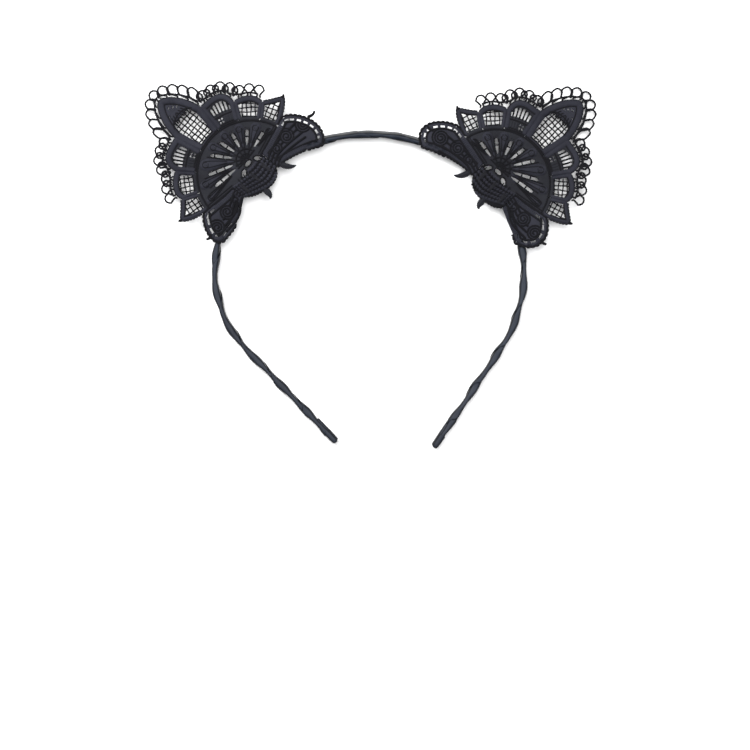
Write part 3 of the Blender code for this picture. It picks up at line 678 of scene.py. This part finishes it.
def net_window(edge, inset, low, side):
    """Outline of the open area inside a petal's border."""
    top = shifted(edge, -inset)
    angle, radius = angles_of(top), np.hypot(*top.T)
    first, last = angles_of(edge[[0, -1]])
    margin = side / radius
    top = top[(angle > first + margin) & (angle < last - margin) & (radius > low + 0.6)]
    return np.vstack([top[::3], fan_arc(*angles_of(top[[-1, 0]]), low, 12)])


def whole_petal(ear, edge):
    """Outline of a whole petal: its outer edge and its side of the fan."""
    first, last = angles_of(edge[[0, -1]])
    return np.vstack([edge[::2], fan_arc(last - 0.004, first + 0.004, ear.fan_radius - 0.2, 12)])


def fan_arc(first, last, radius, count=40):
    return np.array([polar(a, radius) for a in np.linspace(first, last, count)])


def tip_petal(ear):
    piece = Piece(ear)
    edge, ends = outer_edge(ear, "petal_tip")
    window = net_window(edge, NET_INSET["tip"], ear.fan_radius + 1.6, 2.2)
    window = window[window[:, 1] < TIP_NET_END]
    holes = [ellipse((x, y), TIP_HOLE, turn, 10) for x, y, turn in TIP_HOLES]
    ground(piece, [whole_petal(ear, edge), window] + holes, kind=2)
    net(piece, window, 0.0, NET_PITCH["tip"], 0.31)
    stitched_border(piece, ear, edge, "tip")
    for inset in TIP_ARCHES:
        arch = shifted(edge, -inset)
        for run in runs(arch, (arch[:, 1] < TIP_ARCHES_END) & (arch[:, 1] > TIP_NET_END - 2.0), 1.5):
            cord(piece, run, *TIP_CORD)
    cord(piece, smooth(TIP_ARCH, 0.3), *ARCH_CORD)
    for beyond, radius in ((0.3, 0.46), (1.3, 0.42)):
        cord(piece, fan_arc(*ends, ear.fan_radius + beyond), radius)
    return piece


def side_petal(ear, half):
    """A dense petal: a row of slits with a cord beside each, small holes, and satin bars."""
    piece = Piece(ear)
    edge, (first, last) = outer_edge(ear, f"petal_side_{half}")
    slits = []
    for k in range(SIDE_SLITS):
        share = (k + 0.5) / SIDE_SLITS
        angle = first + (last - first) * (0.12 + 0.76 * share)
        arch = 1 - (2 * share - 1) ** 2
        low, high = SIDE_SLIT_FOOT + 0.3 * arch, SIDE_SLIT_TOP + 2.2 * arch
        wide = 0.52 / low
        slits.append(np.array([polar(angle + wide * side, radius) for side, radius in (
            (-0.7, low), (-1, high), (0, high + 0.5), (1, high), (0.7, low))]))
        beside = angle - (last - first) * 0.063
        cord(piece, [polar(beside, SIDE_CORD_FOOT), polar(beside, high + 0.6)], *SLIT_CORD)
    middle = (first + last) / 2
    towards_tip = -1 if middle > 0 else 1
    holes = []
    for row in SIDE_HOLES:
        for k in range(3):
            angle = middle + towards_tip * (0.05 + 0.052 * k)
            holes.append(ellipse(polar(angle, row), (0.42, 0.5), -angle, 8))
    ground(piece, [whole_petal(ear, edge)] + slits + holes)
    stitched_border(piece, ear, edge, "side")
    for radius, size in zip((ear.fan_radius + 0.3,) + SIDE_ARCS, (0.46, 0.42, 0.45)):
        cord(piece, fan_arc(first + 0.02, last - 0.02, radius), size, 0.06)
    for k in range(4):
        angle = middle - towards_tip * (0.005 + 0.045 * k)
        satin(piece, [polar(angle, radius) for radius in SIDE_BARS], *SIDE_BAR)
    return piece


def netted_petal(ear, kind, half):
    """A petal with a net in it. The end petals are leaves with a knotted edge and a spur."""
    piece = Piece(ear)
    edge, ends = outer_edge(ear, f"petal_{kind}_{half}")
    leaf = kind == "end"
    peak = edge[np.argmax(np.hypot(*edge.T))]
    turn = angles_of(peak[None])[0] if leaf else sum(ends) / 2
    window = net_window(edge, NET_INSET[kind], ear.fan_radius + 1.2, 0.9)
    net(piece, window, turn, NET_PITCH[kind], 0.29, NET_OFFSET[kind])
    stitched_border(piece, ear, edge, kind, 0.55 if leaf else 0.0)
    satin(piece, fan_arc(*ends, ear.fan_radius + 0.55), *PETAL_FOOT)
    if leaf:
        way = units(peak)
        bend = np.array([way[1], -way[0]]) * (1 if peak[0] < 0 else -1)
        spur = smooth([peak - way * 0.8, peak + way * 0.5, peak + way * 1.4 + bend * 0.4], 0.2)
        cord(piece, spur, 0.62)
    return piece


# ---- fan

def from_hub(angle, radius):
    return np.array(HUB) + polar(angle, radius)


def hub_openings():
    return [ellipse((x, y), HUB_HOLE, math.radians(turn), 12) for x, y, turn in HUB_HOLES]


def rib_length(ear, angle, short):
    """How far a rib runs from the hub to the fan's edge."""
    hub = np.array(HUB)
    along = hub @ polar(angle, 1.0)
    edge = ear.fan_radius - short
    return -along + math.sqrt(along * along - hub @ hub + edge * edge)


def fan_slit(angle, low, high):
    taper = ((low, 0.2), (low + 1.5, 0.5), ((low + high) / 2, 0.66), (high - 1.0, 0.74), (high, 0.35))
    right = [from_hub(angle + width / radius, radius) for radius, width in taper]
    left = [from_hub(angle - width / radius, radius) for radius, width in taper[::-1]]
    return np.array(right + left)


def fan(ear):
    """The fan's stitched ground, a sheet with its slits and hub openings, and the threads on it."""
    sheet, piece = Piece(ear), Piece(ear)
    outline = ear.loops("fan")[0]
    arc = outline[np.hypot(*outline.T) > ear.fan_radius - 0.2]
    arc = arc[np.argsort(-angles_of(arc))]
    last, first = angles_of(arc[[0, -1]])
    reach = ear.loops("base_band", False)[0][:, 0].max()
    corner = polar(last, reach / math.sin(last))
    cut = np.vstack([arc, corner * (-1, 1), (-reach, FAN_FOOT), (reach, FAN_FOOT), corner])
    angles = [math.radians(a) for a in SLIT_ANGLES]
    slits = [fan_slit(angle, SLIT_SPAN[0], min(SLIT_SPAN[1], rib_length(ear, angle, 4.2)))
             for angle in angles]
    ground(sheet, [cut] + slits + hub_openings(), step=1.5)
    for loop in hub_openings():
        cord(piece, smooth(grown(loop, 1.25), 0.2, True), *HOLE_CORD, True)
    hub_cords(piece)
    for near, far in zip(RIB_EDGES, RIB_EDGES[1:]):
        rib(piece, ear, math.radians(near), math.radians(far))
    for angle in angles:
        for at in SLIT_BARS:
            half = 1.1 / at
            net_thread(piece, [from_hub(angle - half, at), from_hub(angle + half, at)], 0.3)
    cord(piece, fan_arc(first, last, ear.fan_radius - 0.45), *RIM_CORD)
    for sign in (1, -1):
        side_line = np.array([polar(sign * (math.radians(FAN_SIDE) - 0.15 / r), r)
                              for r in np.linspace(9, 23.4, 20)])
        cord(piece, side_line, *FAN_SIDE_CORD)
        cord(piece, shifted(side_line, sign * 1.1), *FAN_SIDE_INNER)
    return sheet, piece, cut


def hub_cords(piece):
    """Cords that run together at the hub, one between each two slits, and two that bind them."""
    for near, far in zip(RIB_EDGES, RIB_EDGES[1:]):
        angle = math.radians((near + far) / 2)
        cord(piece, [from_hub(angle, 0.4), from_hub(angle, 5.6)], *HUB_CORD)
    for radius in (2.6, 4.6):
        cord(piece, [from_hub(math.radians(a), radius) for a in range(-80, 84, 6)], *BINDING_CORD)


def rib(piece, ear, near, far):
    """One rib of the fan: a swelling satin column with a cord down each side and an eyelet head."""
    middle, gap = (near + far) / 2, (near - far) / 2
    length = rib_length(ear, middle, 1.2)
    span = np.linspace(RIB_START, length, 60)
    line = np.array([from_hub(middle, r) for r in span])
    if line[0][1] <= -0.5 or gap < 0.05:
        return
    swelling = np.minimum(gap * span - 1.35, 2.7)
    head = np.sqrt(np.clip(1 - ((span - length + 3.2) / 3.2).clip(0, 1) ** 2, 0.04, 1))
    even = evenly(line, SATIN_STEP)
    width = np.interp(lengths_along(even) + RIB_START, span, np.maximum(0.3, swelling * head))
    height = 0.3 + 0.45 * np.minimum(1, width / 1.6)
    sweep(piece, even, width, height, 14, SATIN_RIDGE, 0.05, False, 0.5, 2)
    for share in (-0.5, 0.5):
        seam = even + left_of(even) * (share * width)[:, None]
        cord(piece, seam[len(seam) // 4:-12], *RIB_SEAM)
    for sign in (1, -1):
        run = [from_hub(middle + sign * (gap - 0.98 / r), r)
               for r in np.linspace(5.0, length - 3.0, 30) if gap > 1.1 / r]
        if len(run) > 3:
            cord(piece, run, *RIB_CORD)
    for size, count, radius, lift in ((1.25, 24, 0.36, 0.5), (0.5, 12, 0.28, 0.52)):
        eyelet = ellipse(from_hub(middle, length - 2.6), (size, size), 0.0, count)
        cord(piece, eyelet, radius, lift, True)


# ---- base, wings, spurs and stitches

# Each row of cord passes these points: place, and how far each next row lies from it
ROWS = ((-26.0, -7.9, 1.5, 2.2), (-17.0, -7.6, 0.4, 2.0), (-9.8, -3.6, 0.0, 1.35),
        (-3.5, -7.0, 0.0, 1.85), (2.5, -9.2, 0.0, 2.05), (8.5, -7.9, 0.0, 1.9),
        (13.5, -5.6, 0.0, 1.7), (20.0, -6.3, 0.0, 2.05), (27.5, -8.2, 0.6, 2.4))
BASE_ROWS = (2, 7)      # the points of a row that lie on the base
WING_ROWS = {"upper": (5, None), "lower": (0, 4)}
BASE_TOP = 0.6          # the base's ground ends here, below the hub's openings
RIM_PITCH = {"upper": 3.1, "lower": 4.2}
WING_FREE = {"upper": 23.5, "lower": 20.5}      # a wing's rim is open beyond this distance across
WING_EYE = {("lower", "left"): (-14.9, -4.4, 0.7)}
WING_SCROLLS = {        # place, size and starting direction
    "upper": ((30.6, -3.6, 3.9, -0.4), (22.2, -1.6, 3.6, 2.4), (15.4, -1.8, 2.6, 0.6)),
    "lower": ((-26.8, -3.6, 3.7, 3.4), (-19.0, -2.6, 3.4, 0.5), (-12.6, -2.2, 2.2, 2.5))}
WING_SPUR = {"upper": ((34.2, -3.4), (36.6, -4.4), (38.4, -4.0)),
             "lower": ((-30.6, -3.4), (-32.6, -3.9), (-33.9, -3.2))}
# height of its root above its middle, widest half width, and its line from the root
BARBS = {"long": (2.4, 1.2, ((-0.4, 1.8), (0.0, 0.0), (0.9, -2.4), (2.2, -4.2), (3.9, -5.3))),
         "short": (1.8, 1.3, ((0.2, 1.9), (0.0, 0.0), (-0.2, -1.6), (-0.8, -2.8), (-1.7, -3.3)))}
STITCHES = ("upper", "middle", "lower")
STRANDS = (-0.42, 0.0, 0.42)


def row_line(k, first, last):
    """One of the rows of cord that run from wing to wing round the hub."""
    return smooth([(x + dx * k, y + dy * k) for x, y, dx, dy in ROWS[first:last]], 0.25)


def base(ear):
    piece = Piece(ear)
    edge = ear.loops("base_band", False)[0]
    ground(piece, [np.minimum(edge, (np.inf, BASE_TOP))], 0.7, kind=1)
    for k in range(6):
        line = row_line(k, *BASE_ROWS)
        clear = inside(line, edge)
        for opening in hub_openings():
            clear &= ~inside(line, grown(opening, 1.5))
        for run in runs(line, clear, 1.0):
            satin(piece, run, *BASE_BAND, kind=2)
    for k in range(5):
        rungs = evenly(row_line(k + 0.5, *BASE_ROWS), 1.45)
        for point, square in zip(rungs[1:-1], left_of(rungs)[1:-1] * 0.95):
            if inside(point[None], edge)[0]:
                net_thread(piece, [point - square, point, point + square], *RUNG_THREAD)
    lip = edge[edge[:, 1] < -1.0]
    lip = smooth(lip[np.argsort(lip[:, 0])], 0.3)
    toothed(piece, shifted(lip, 0.3), *LIP_TEETH)
    return piece


def scroll(centre, start, end, turns, phase):
    """A spiral about a place."""
    t = np.linspace(0, 1, 120)
    angle = phase + 2 * math.pi * turns * t
    radius = start + (end - start) * t
    return np.stack([centre[0] + radius * np.cos(angle), centre[1] + radius * np.sin(angle)], axis=1)


def rim_openings(line, pitch):
    """Outlines of small openings in a row along a wing's rim."""
    points = evenly(line, pitch)
    found = []
    for point, after in zip(points[:-1], points[1:]):
        along = units(after - point)
        square = np.array([-along[1], along[0]])
        place = (point + after) / 2
        found.append(np.array([place + along * a * pitch * 0.3 + square * b
                               for a, b in ((-1, -0.42), (1, -0.42), (1, 0.42), (-1, 0.42))]))
    return found


def buttonhole(piece, loop, holes):
    """Short stitches side by side over a wing's rim, left out at its openings."""
    rim = evenly(loop, 0.78, True)
    for start, stop in zip(shifted(rim, 0.55, True), shifted(rim, 2.25, True)):
        middle = (start + stop) / 2
        over = any(np.hypot(*(middle - hole.mean(0))) < 1.35 for hole in holes)
        if not over and inside(stop[None], loop)[0]:
            net_thread(piece, [start, middle, stop], *BUTTONHOLE_THREAD, 2)


def wing(ear, end):
    """A scrolled shell: a toothed rim with openings, spirals, and the rows of cord round them."""
    piece = Piece(ear)
    outline = ear.loops(f"wing_{end}", False)[0]
    loop = smooth(outline, 0.25, True)
    loop = np.roll(loop, -int(np.argmin(np.abs(loop[:, 0]))), 0)
    inner = shifted(loop, 2.5, True)
    free = loop[:, 0] * (1 if end == "upper" else -1) > WING_FREE[end]
    holes = rim_openings(runs(shifted(loop, 1.45, True), free, 5.0)[0], RIM_PITCH[end])
    if (end, ear.side) in WING_EYE:
        x, y, turn = WING_EYE[end, ear.side]
        holes.append(ellipse((x, y), (1.8, 1.0), turn, 12))
        cord(piece, smooth(ellipse((x, y), (2.25, 1.45), turn, 12), 0.2, True), *EYE_CORD, True)
    ground(piece, [outline] + holes, kind=2)
    buttonhole(piece, loop, holes)
    toothed(piece, runs(loop, free, 5.0)[0], *RIM_TEETH)
    toothed(piece, runs(shifted(loop, 0.05, True), ~free, 2.0)[0], *HOOP_SIDE_TEETH)
    for run in runs(inner, inside(inner, loop), 3.0):
        cord(piece, run, *WING_CORD)
    for x, y, size, phase in WING_SCROLLS[end]:
        path = scroll((x, y), 0.35, size, size / 1.22, phase)
        for run in runs(path, inside(path, inner), 0.8):
            cord(piece, run, *SCROLL_CORD)
    for k in range(4):
        path = row_line(k, *WING_ROWS[end])
        clear = inside(path, loop)
        for x, y, size, _ in WING_SCROLLS[end]:
            clear &= np.hypot(path[:, 0] - x, path[:, 1] - y) > size * 0.72
        for run in runs(path, clear, 1.0):
            satin(piece, run, *WING_BAND, kind=1)
    spur = evenly(smooth(WING_SPUR[end], 0.2), SATIN_STEP)
    along = np.linspace(0, 1, len(spur))
    sweep(piece, spur, 0.8 - 0.3 * along, 0.6 - 0.2 * along, 8, SATIN_RIDGE, 0.0, False, 0.4, 1)
    return piece


def barb(ear, which):
    """A hooked spur of satin stitch on the base's inner edge."""
    piece = Piece(ear)
    rise, widest, hook = BARBS[which]
    middle = ear.loops(f"barb_{which}", False)[0].mean(0)
    line = smooth(middle + (0, rise) + np.array(hook), SATIN_STEP)
    share = np.linspace(0, 1, len(line))
    taper = np.sqrt(np.clip(1 - share ** 2.2, 0.05, 1))
    width = widest * taper * (0.75 + 0.45 * np.sin(math.pi * share))
    sweep(piece, line, width, 0.5 * (1 - 0.45 * share), 12, SATIN_RIDGE, 0.0, False, 0.5)
    cord(piece, line[: int(0.8 * len(line))], *BARB_CORD, kind=0)
    return piece


def stitches(ear):
    """Sewing thread over the lace and down both sides of the hoop, three strands to a stitch."""
    piece = Piece(ear)
    for name in STITCHES:
        mesh = frame["nodes"][ear.node(f"stitch_{name}")].data
        plan = ear.unlay(np.array([v.co for v in mesh.vertices], float), False)
        across = plan[:, 0].mean()
        near, far = plan[:, 1].min() + 0.3, plan[:, 1].max() - 0.3
        bottom = plan[:, 2].min() + 0.3
        for strand in STRANDS:
            start, stop = across + 0.5 * strand, across + 1.5 * strand
            line = ((start, near, bottom), (start, near, 0.5), (start, near + 0.25, 0.95),
                    (across + strand, (near + far) / 2, 1.12), (stop, far - 0.25, 0.95),
                    (stop, far, 0.5), (stop, far, bottom))
            twisted_tube(piece, smooth(line, 0.2), 0.2)
    return piece


def twisted_tube(piece, line, radius, sides=8):
    """A thread that may also run straight up or down."""
    way = units(np.gradient(line, axis=0))
    first = units(np.cross(way, np.array([1.0, 0.0, 0.0])))
    second = np.cross(way, first)
    turn = np.arange(sides) * 2 * math.pi / sides
    swell = radius * (1 + 0.14 * np.cos(2 * math.pi * lengths_along(line)[:, None] / 0.9 + 2 * turn))
    points = (line[:, None] + first[:, None] * (swell * np.cos(turn))[..., None]
              - second[:, None] * (swell * np.sin(turn))[..., None])
    piece.add(points, tube_faces(len(line), sides))


# ---- picots

def loop_thread(piece, line, lift=0.0):
    sweep(piece, smooth(line, THREAD_STEP), PICOT_THREAD, PICOT_THREAD, 7, THREAD_TWIST, lift,
          False, 0.3)


def loop_line(foot, way, right, top):
    """A loop's line: its right half, from the bottom up, its top, and the same on its left."""
    square = np.array([way[1], -way[0]])
    shape = [(-x, y) for x, y in right] + [(0.0, top)] + list(right[::-1])
    return np.array([foot + square * x + way * y for x, y in shape])


def picots(ear):
    """The row of thread loops round the petals, and the thread that links their feet."""
    piece = Piece(ear)
    holes = ear.loops("picot_edging")[1:]
    holes.sort(key=lambda loop: math.atan2(*loop.mean(0)))
    feet = []
    for k, hole in enumerate(holes):
        radius = np.hypot(*hole.T)
        foot, crown = hole[np.argmin(radius)], hole[np.argmax(radius)]
        way = units(crown - foot)
        tall = np.hypot(*(crown - foot)) + 0.3
        shape = ((0.5, 0.0), (0.25, 0.9), (0.75, 0.38 * tall + 1.0), (1.0, 0.66 * tall + 0.6),
                 (0.62, tall + 0.75))
        wide = tuple((LOOP_WIDTH * x, y) for x, y in shape)
        line = loop_line(foot - way * 1.25, way, wide, tall + 1.25)
        height = np.linspace(-0.15, 0.15, len(line))[:, None] * (1 if k % 2 else -1)
        loop_thread(piece, np.hstack([line, height]))
        feet.append(foot + way * 0.15)
        bearing = abs(math.degrees(math.atan2(*foot)))
        if k and LOW_LOOPS[0] < bearing < LOW_LOOPS[1]:
            low = ((0.3, -0.9), (0.9, 0.5), (1.25, 1.7), (0.7, 2.7))
            loop_thread(piece, loop_line((feet[-1] + feet[-2]) / 2, way, low, 3.0), 0.3)
    loop_thread(piece, feet, 0.12)
    return piece


# ---- ribbon

STEEL_NODES = ("steel_hoop_arm_left", "steel_hoop_crown", "steel_hoop_arm_right")
# Sections of a folded ribbon end: place along the strip, shares of its half thickness and width
TUCK = ((-1.4, 0.86, 0.93), (-1.3, 0.97, 1.0), (0.0, 1.0, 1.0), (1.5, 1.02, 0.99), (3.0, 0.97, 1.0),
        (4.2, 0.92, 0.98), (4.9, 0.74, 0.93), (5.2, 0.45, 0.84))
TUCK_HALF = (1.5, 2.8)
FLAP = ((-7.5, 0.93, 0.60), (-7.35, 1.0, 0.66), (-3.0, 1.0, 0.74), (1.0, 1.0, 0.82), (4.4, 0.9, 0.82),
        (4.5, 0.7, 0.78))
FLAP_HALF = (1.08, 2.75)
FLAP_INSIDE = 0.75      # the cut edge lies this far towards the head

def hoop_rings():
    """Middle of the steel strip and the direction of its width at each of the CAD's sections."""
    points = []
    for node in STEEL_NODES:
        points += [tuple(v.co) for v in frame["nodes"][node].data.vertices]
    points = np.unique(np.round(np.array(points), 6), axis=0)
    rings = []
    left = list(range(len(points)))
    while left:
        near = [i for i in left if np.linalg.norm(points[i] - points[left[0]]) < SECTION_REACH * MM]
        middle = points[near].mean(0)
        near = [i for i in left if np.linalg.norm(points[i] - middle) < SECTION_HALF * MM]
        cluster = points[near]
        wide = np.linalg.svd(cluster - cluster.mean(0))[2][0]
        rings.append(np.concatenate([cluster.mean(0), wide * np.sign(wide[2])]))
        left = [i for i in left if i not in near]
    rings = np.array(rings)
    angle = np.arctan2(-rings[:, 0], -(rings[:, 1] + 0.02)) % (2 * math.pi)
    return rings[np.argsort(angle)]


class Hoop:
    """The steel strip's line, from the left end over the crown to the right end, in millimetres."""

    def __init__(self):
        rings = hoop_rings()
        line = smooth(np.hstack([rings[:, :3] / MM, rings[:, 3:] * MM]), 0.5)
        self.middle = line[:, :3]
        self.wide = units(line[:, 3:])
        self.along = lengths_along(self.middle)
        self.length = self.along[-1]

    def at(self, along, values):
        return np.stack([np.interp(along, self.along, values[:, k]) for k in range(3)], axis=-1)

    def frames(self, along):
        """The strip's middle, and its directions along, across its width and away from the head."""
        ahead = self.at(np.clip(along + 0.6, 0, self.length), self.middle)
        behind = self.at(np.clip(along - 0.6, 0, self.length), self.middle)
        way = units(ahead - behind)
        out = units(np.cross(self.at(along, self.wide), way))
        return self.at(along, self.middle), way, units(np.cross(way, out)), out

    def nearest(self, point):
        away = np.linalg.norm(self.middle - np.array(point, float) / MM, axis=1)
        return float(self.along[np.argmin(away)])


def blunt(value):
    """Turns the sine and cosine of a round section into those of a blunt-cornered one."""
    return np.sign(value) * np.abs(value) ** 0.62


def ribbon_surface(hoop, along, turn, layer):
    """Places on the wound ribbon at a distance along the hoop and a direction round the strip."""
    along = np.clip(along, 0.0, hoop.length)
    here, _, wide, out = hoop.frames(along)
    lean = np.clip(1 - wide[..., 2], 0, CROWN_LEAN) / CROWN_LEAN
    bulge = RIBBON_BULGE + (RIBBON_BULGE_CROWN - RIBBON_BULGE) * lean
    beat = 2 * math.pi * (along + 1.8 * np.sin(along / 21.0)) / RIBBON_BEAT
    beat = np.where(np.cos(turn) > 0, beat, beat + INNER_LAG)
    puff = bulge * (0.5 + 0.5 * np.cos(beat)) ** 1.2
    x = blunt(np.cos(turn)) * (STRIP_HALF_THICKNESS + puff + layer)
    y = blunt(np.sin(turn)) * (STRIP_HALF_WIDTH + layer)
    return here + out * x[..., None] + wide * y[..., None]


def winding(hoop, start, stop):
    """A length of the ribbon, wound round the strip in overlapping turns."""
    piece = Piece()
    rows, columns = round((stop - start) / RIBBON_PITCH * 72), 27
    turn, share = np.meshgrid(np.linspace(start, stop, rows) * 2 * math.pi / RIBBON_PITCH,
                              np.linspace(-0.5, 0.5, columns), indexing="ij")
    along = RIBBON_PITCH * (turn / (2 * math.pi) + RIBBON_OVERLAP * share)
    edge = np.clip((np.abs(share) - 0.44) / 0.06, 0, 1) ** 2
    crease = RIBBON_CREASE * np.cos(2 * math.pi * (3.2 * share + 0.35 * np.sin(turn * 0.73)))
    crease *= np.sin(turn) ** 2 * (1 - edge)
    layer = RIBBON_FIRST + RIBBON_RISE * (share + 0.5) + crease
    outer = ribbon_surface(hoop, along, turn, layer - 0.04 * edge)
    inner = ribbon_surface(hoop, along, turn, layer - RIBBON_CLOTH + 0.03 * edge)
    ring = np.concatenate([outer, inner[:, ::-1]], axis=1)
    faces = grid_faces(rows, 2 * columns, False)
    for first, flip in ((0, True), ((rows - 1) * 2 * columns, False)):
        for j in range(columns - 1):
            quad = [first + j, first + j + 1, first + 2 * columns - 2 - j, first + 2 * columns - 1 - j]
            faces.append(quad[::-1] if flip else quad)
    piece.add(ring * MM, faces)
    return piece


def outward(thing):
    """Turns a closed mesh's faces outwards."""
    shell = bmesh.new()
    shell.from_mesh(thing.data)
    bmesh.ops.recalc_face_normals(shell, faces=shell.faces[:])
    shell.to_mesh(thing.data)
    shell.free()
    return thing


def tuck(hoop, end):
    """The ribbon's glued end, folded over the end of the strip, with its cut edge on the inner face."""
    piece = Piece()
    start, sign = (0.0, -1.0) if end == "left" else (hoop.length, 1.0)
    here, way, wide, out = (vectors[0] for vectors in hoop.frames(np.array([start])))
    add_loft(piece, here, way * sign, wide, out, TUCK, TUCK_HALF)
    add_loft(piece, here - out * FLAP_INSIDE, way * sign, wide, out, FLAP, FLAP_HALF)
    return piece


def add_loft(piece, here, way, wide, out, sections, half):
    """A blunt-cornered body through sections given as place, share of thickness, share of width."""
    at, thick, broad = (column[:, None] for column in smooth(sections, 0.3).T)
    turn = np.linspace(0, 2 * math.pi, 28, endpoint=False)
    fold = 1 + 0.02 * np.cos(5 * turn + 2.1 * at)
    x = blunt(np.cos(turn)) * half[0] * thick * fold
    y = blunt(np.sin(turn)) * half[1] * broad
    points = here + way * at[..., None] + out * x[..., None] + wide * y[..., None]
    piece.add(points * MM, tube_faces(*points.shape[:2]))


# ---- assembly

def finish_piece(thing, nodes, body=None, bend=None):
    if bend:
        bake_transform(thing)
    else:
        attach(thing, body)
    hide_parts(*nodes)


def build_ear(side):
    """All the pieces of one ear: most are put on their body, and the fan and wing pieces have their
    place baked into their mesh.
    """
    ear = Ear(side)
    body = f"ear_{side}"
    things = []

    def add(piece, name, nodes, body=None, bend=None,
            materials=(LACE, NET, FLOSS)):
        things.append(piece.mesh(f"{name}_{side}", materials))
        finish_piece(things[-1], [ear.node(n) for n in nodes], body, bend)

    fan_fold = ("crown", body, ear.spot(-0.6), ear.spot(5.0))
    wing_fold = ("crown", body, ear.spot(0.4), ear.spot(6.4))
    sheet, threads, cut = fan(ear)
    add(sheet, "lace_fan_ground", ["fan"], bend=fan_fold)
    add(threads, "lace_fan", ["fan"], bend=fan_fold)
    add(tip_petal(ear), "lace_petal_tip", ["petal_tip", "petal_tip_net"], body)
    for half in ("inner", "outer"):
        add(side_petal(ear, half), f"lace_petal_side_{half}", [f"petal_side_{half}"], body)
        for kind in ("mid", "end"):
            name = f"petal_{kind}_{half}"
            add(netted_petal(ear, kind, half), "lace_" + name, [name, name + "_net"], body)
    add(picots(ear), "picot_loops", ["picot_edging"], body, materials=[LOOP])
    add(base(ear), "lace_base", ["base_band"], "crown")
    for end in ("upper", "lower"):
        add(wing(ear, end), f"lace_wing_{end}", [f"wing_{end}"], bend=wing_fold)
    for which in BARBS:
        add(barb(ear, which), f"lace_barb_{which}", [f"barb_{which}"], "crown",
            materials=[LACE])
    add(stitches(ear), "sewn_stitches", [f"stitch_{name}" for name in STITCHES], "crown",
        materials=[SEWING])


def build_ribbon():
    hoop = Hoop()
    pivots = {}
    for side in SIDES:
        joint = next(j for j in frame["joints"] if j["name"] == f"arm_{side}_spread")
        pivots[side] = hoop.nearest(joint["pos_m"])
    left_seam, right_seam = pivots["left"] + SEAM_INSIDE, pivots["right"] - SEAM_INSIDE
    lead = RIBBON_PITCH * RIBBON_OVERLAP / 2
    spans = {"arm_left": (-lead, left_seam), "crown": (left_seam, right_seam),
             "arm_right": (right_seam, hoop.length + lead)}
    for body, span in spans.items():
        wound = outward(winding(hoop, *span).mesh(f"ribbon_winding_{body}", [SATIN]))
        if body == "crown":
            finish_piece(wound, ["ribbon_wrap_crown"], body)
            continue
        side = body.split("_")[1]
        reach = SHOULDER_BEND if side == "left" else -SHOULDER_BEND
        start, end = hoop.frames(pivots[side] + np.array([reach, -reach]))[0] * MM
        finish_piece(wound, [f"ribbon_wrap_{body}"],
                     bend=("crown", body, tuple(start), tuple(end)))
        cap = outward(tuck(hoop, side).mesh(f"ribbon_tuck_{side}", [SATIN]))
        finish_piece(cap, [f"ribbon_end_{side}"], body)


def build_steel():
    for node in STEEL_NODES:
        mesh = frame["nodes"][node].data
        mesh.materials.clear()
        mesh.materials.append(STEEL)


# ---- stage

def area_light(name, place, size, power):
    """A square light of that size and power, aimed at the origin."""
    light = bpy.data.lights.new(name, "AREA")
    light.energy = power
    light.size = size
    lamp = bpy.data.objects.new(name, light)
    lamp.location = place
    lamp.rotation_euler = (-Vector(place)).to_track_quat("-Z", "Y").to_euler()
    bpy.context.scene.collection.objects.link(lamp)


def build_stage():
    bpy.ops.mesh.primitive_plane_add(size=FLOOR_SIZE, location=(0, 0, -FLOOR_GAP))
    floor = bpy.context.object
    floor.name = "floor"
    floor.data.materials.append(floor_material())
    world = bpy.data.worlds.new("studio")
    world.use_nodes = True
    background = world.node_tree.nodes["Background"]
    background.inputs["Color"].default_value = (0.97, 0.98, 1.0, 1)
    background.inputs["Strength"].default_value = 0.22
    bpy.context.scene.world = world
    area_light("key", (-0.5, 0.55, 0.8), 0.45, 15.0)
    area_light("top", (0.1, 0.1, 1.3), 1.0, 22.0)
    bpy.context.scene.view_settings.view_transform = "Standard"


def build_camera():
    camera = bpy.data.cameras.new("camera")
    camera.lens = 85.0
    camera.sensor_width = 36.0
    eye = bpy.data.objects.new("camera", camera)
    eye.location = CAMERA_PLACE
    bpy.context.scene.collection.objects.link(eye)
    bpy.context.scene.camera = eye


build_camera()
build_stage()
for ear_side in SIDES:
    build_ear(ear_side)
build_ribbon()
build_steel()
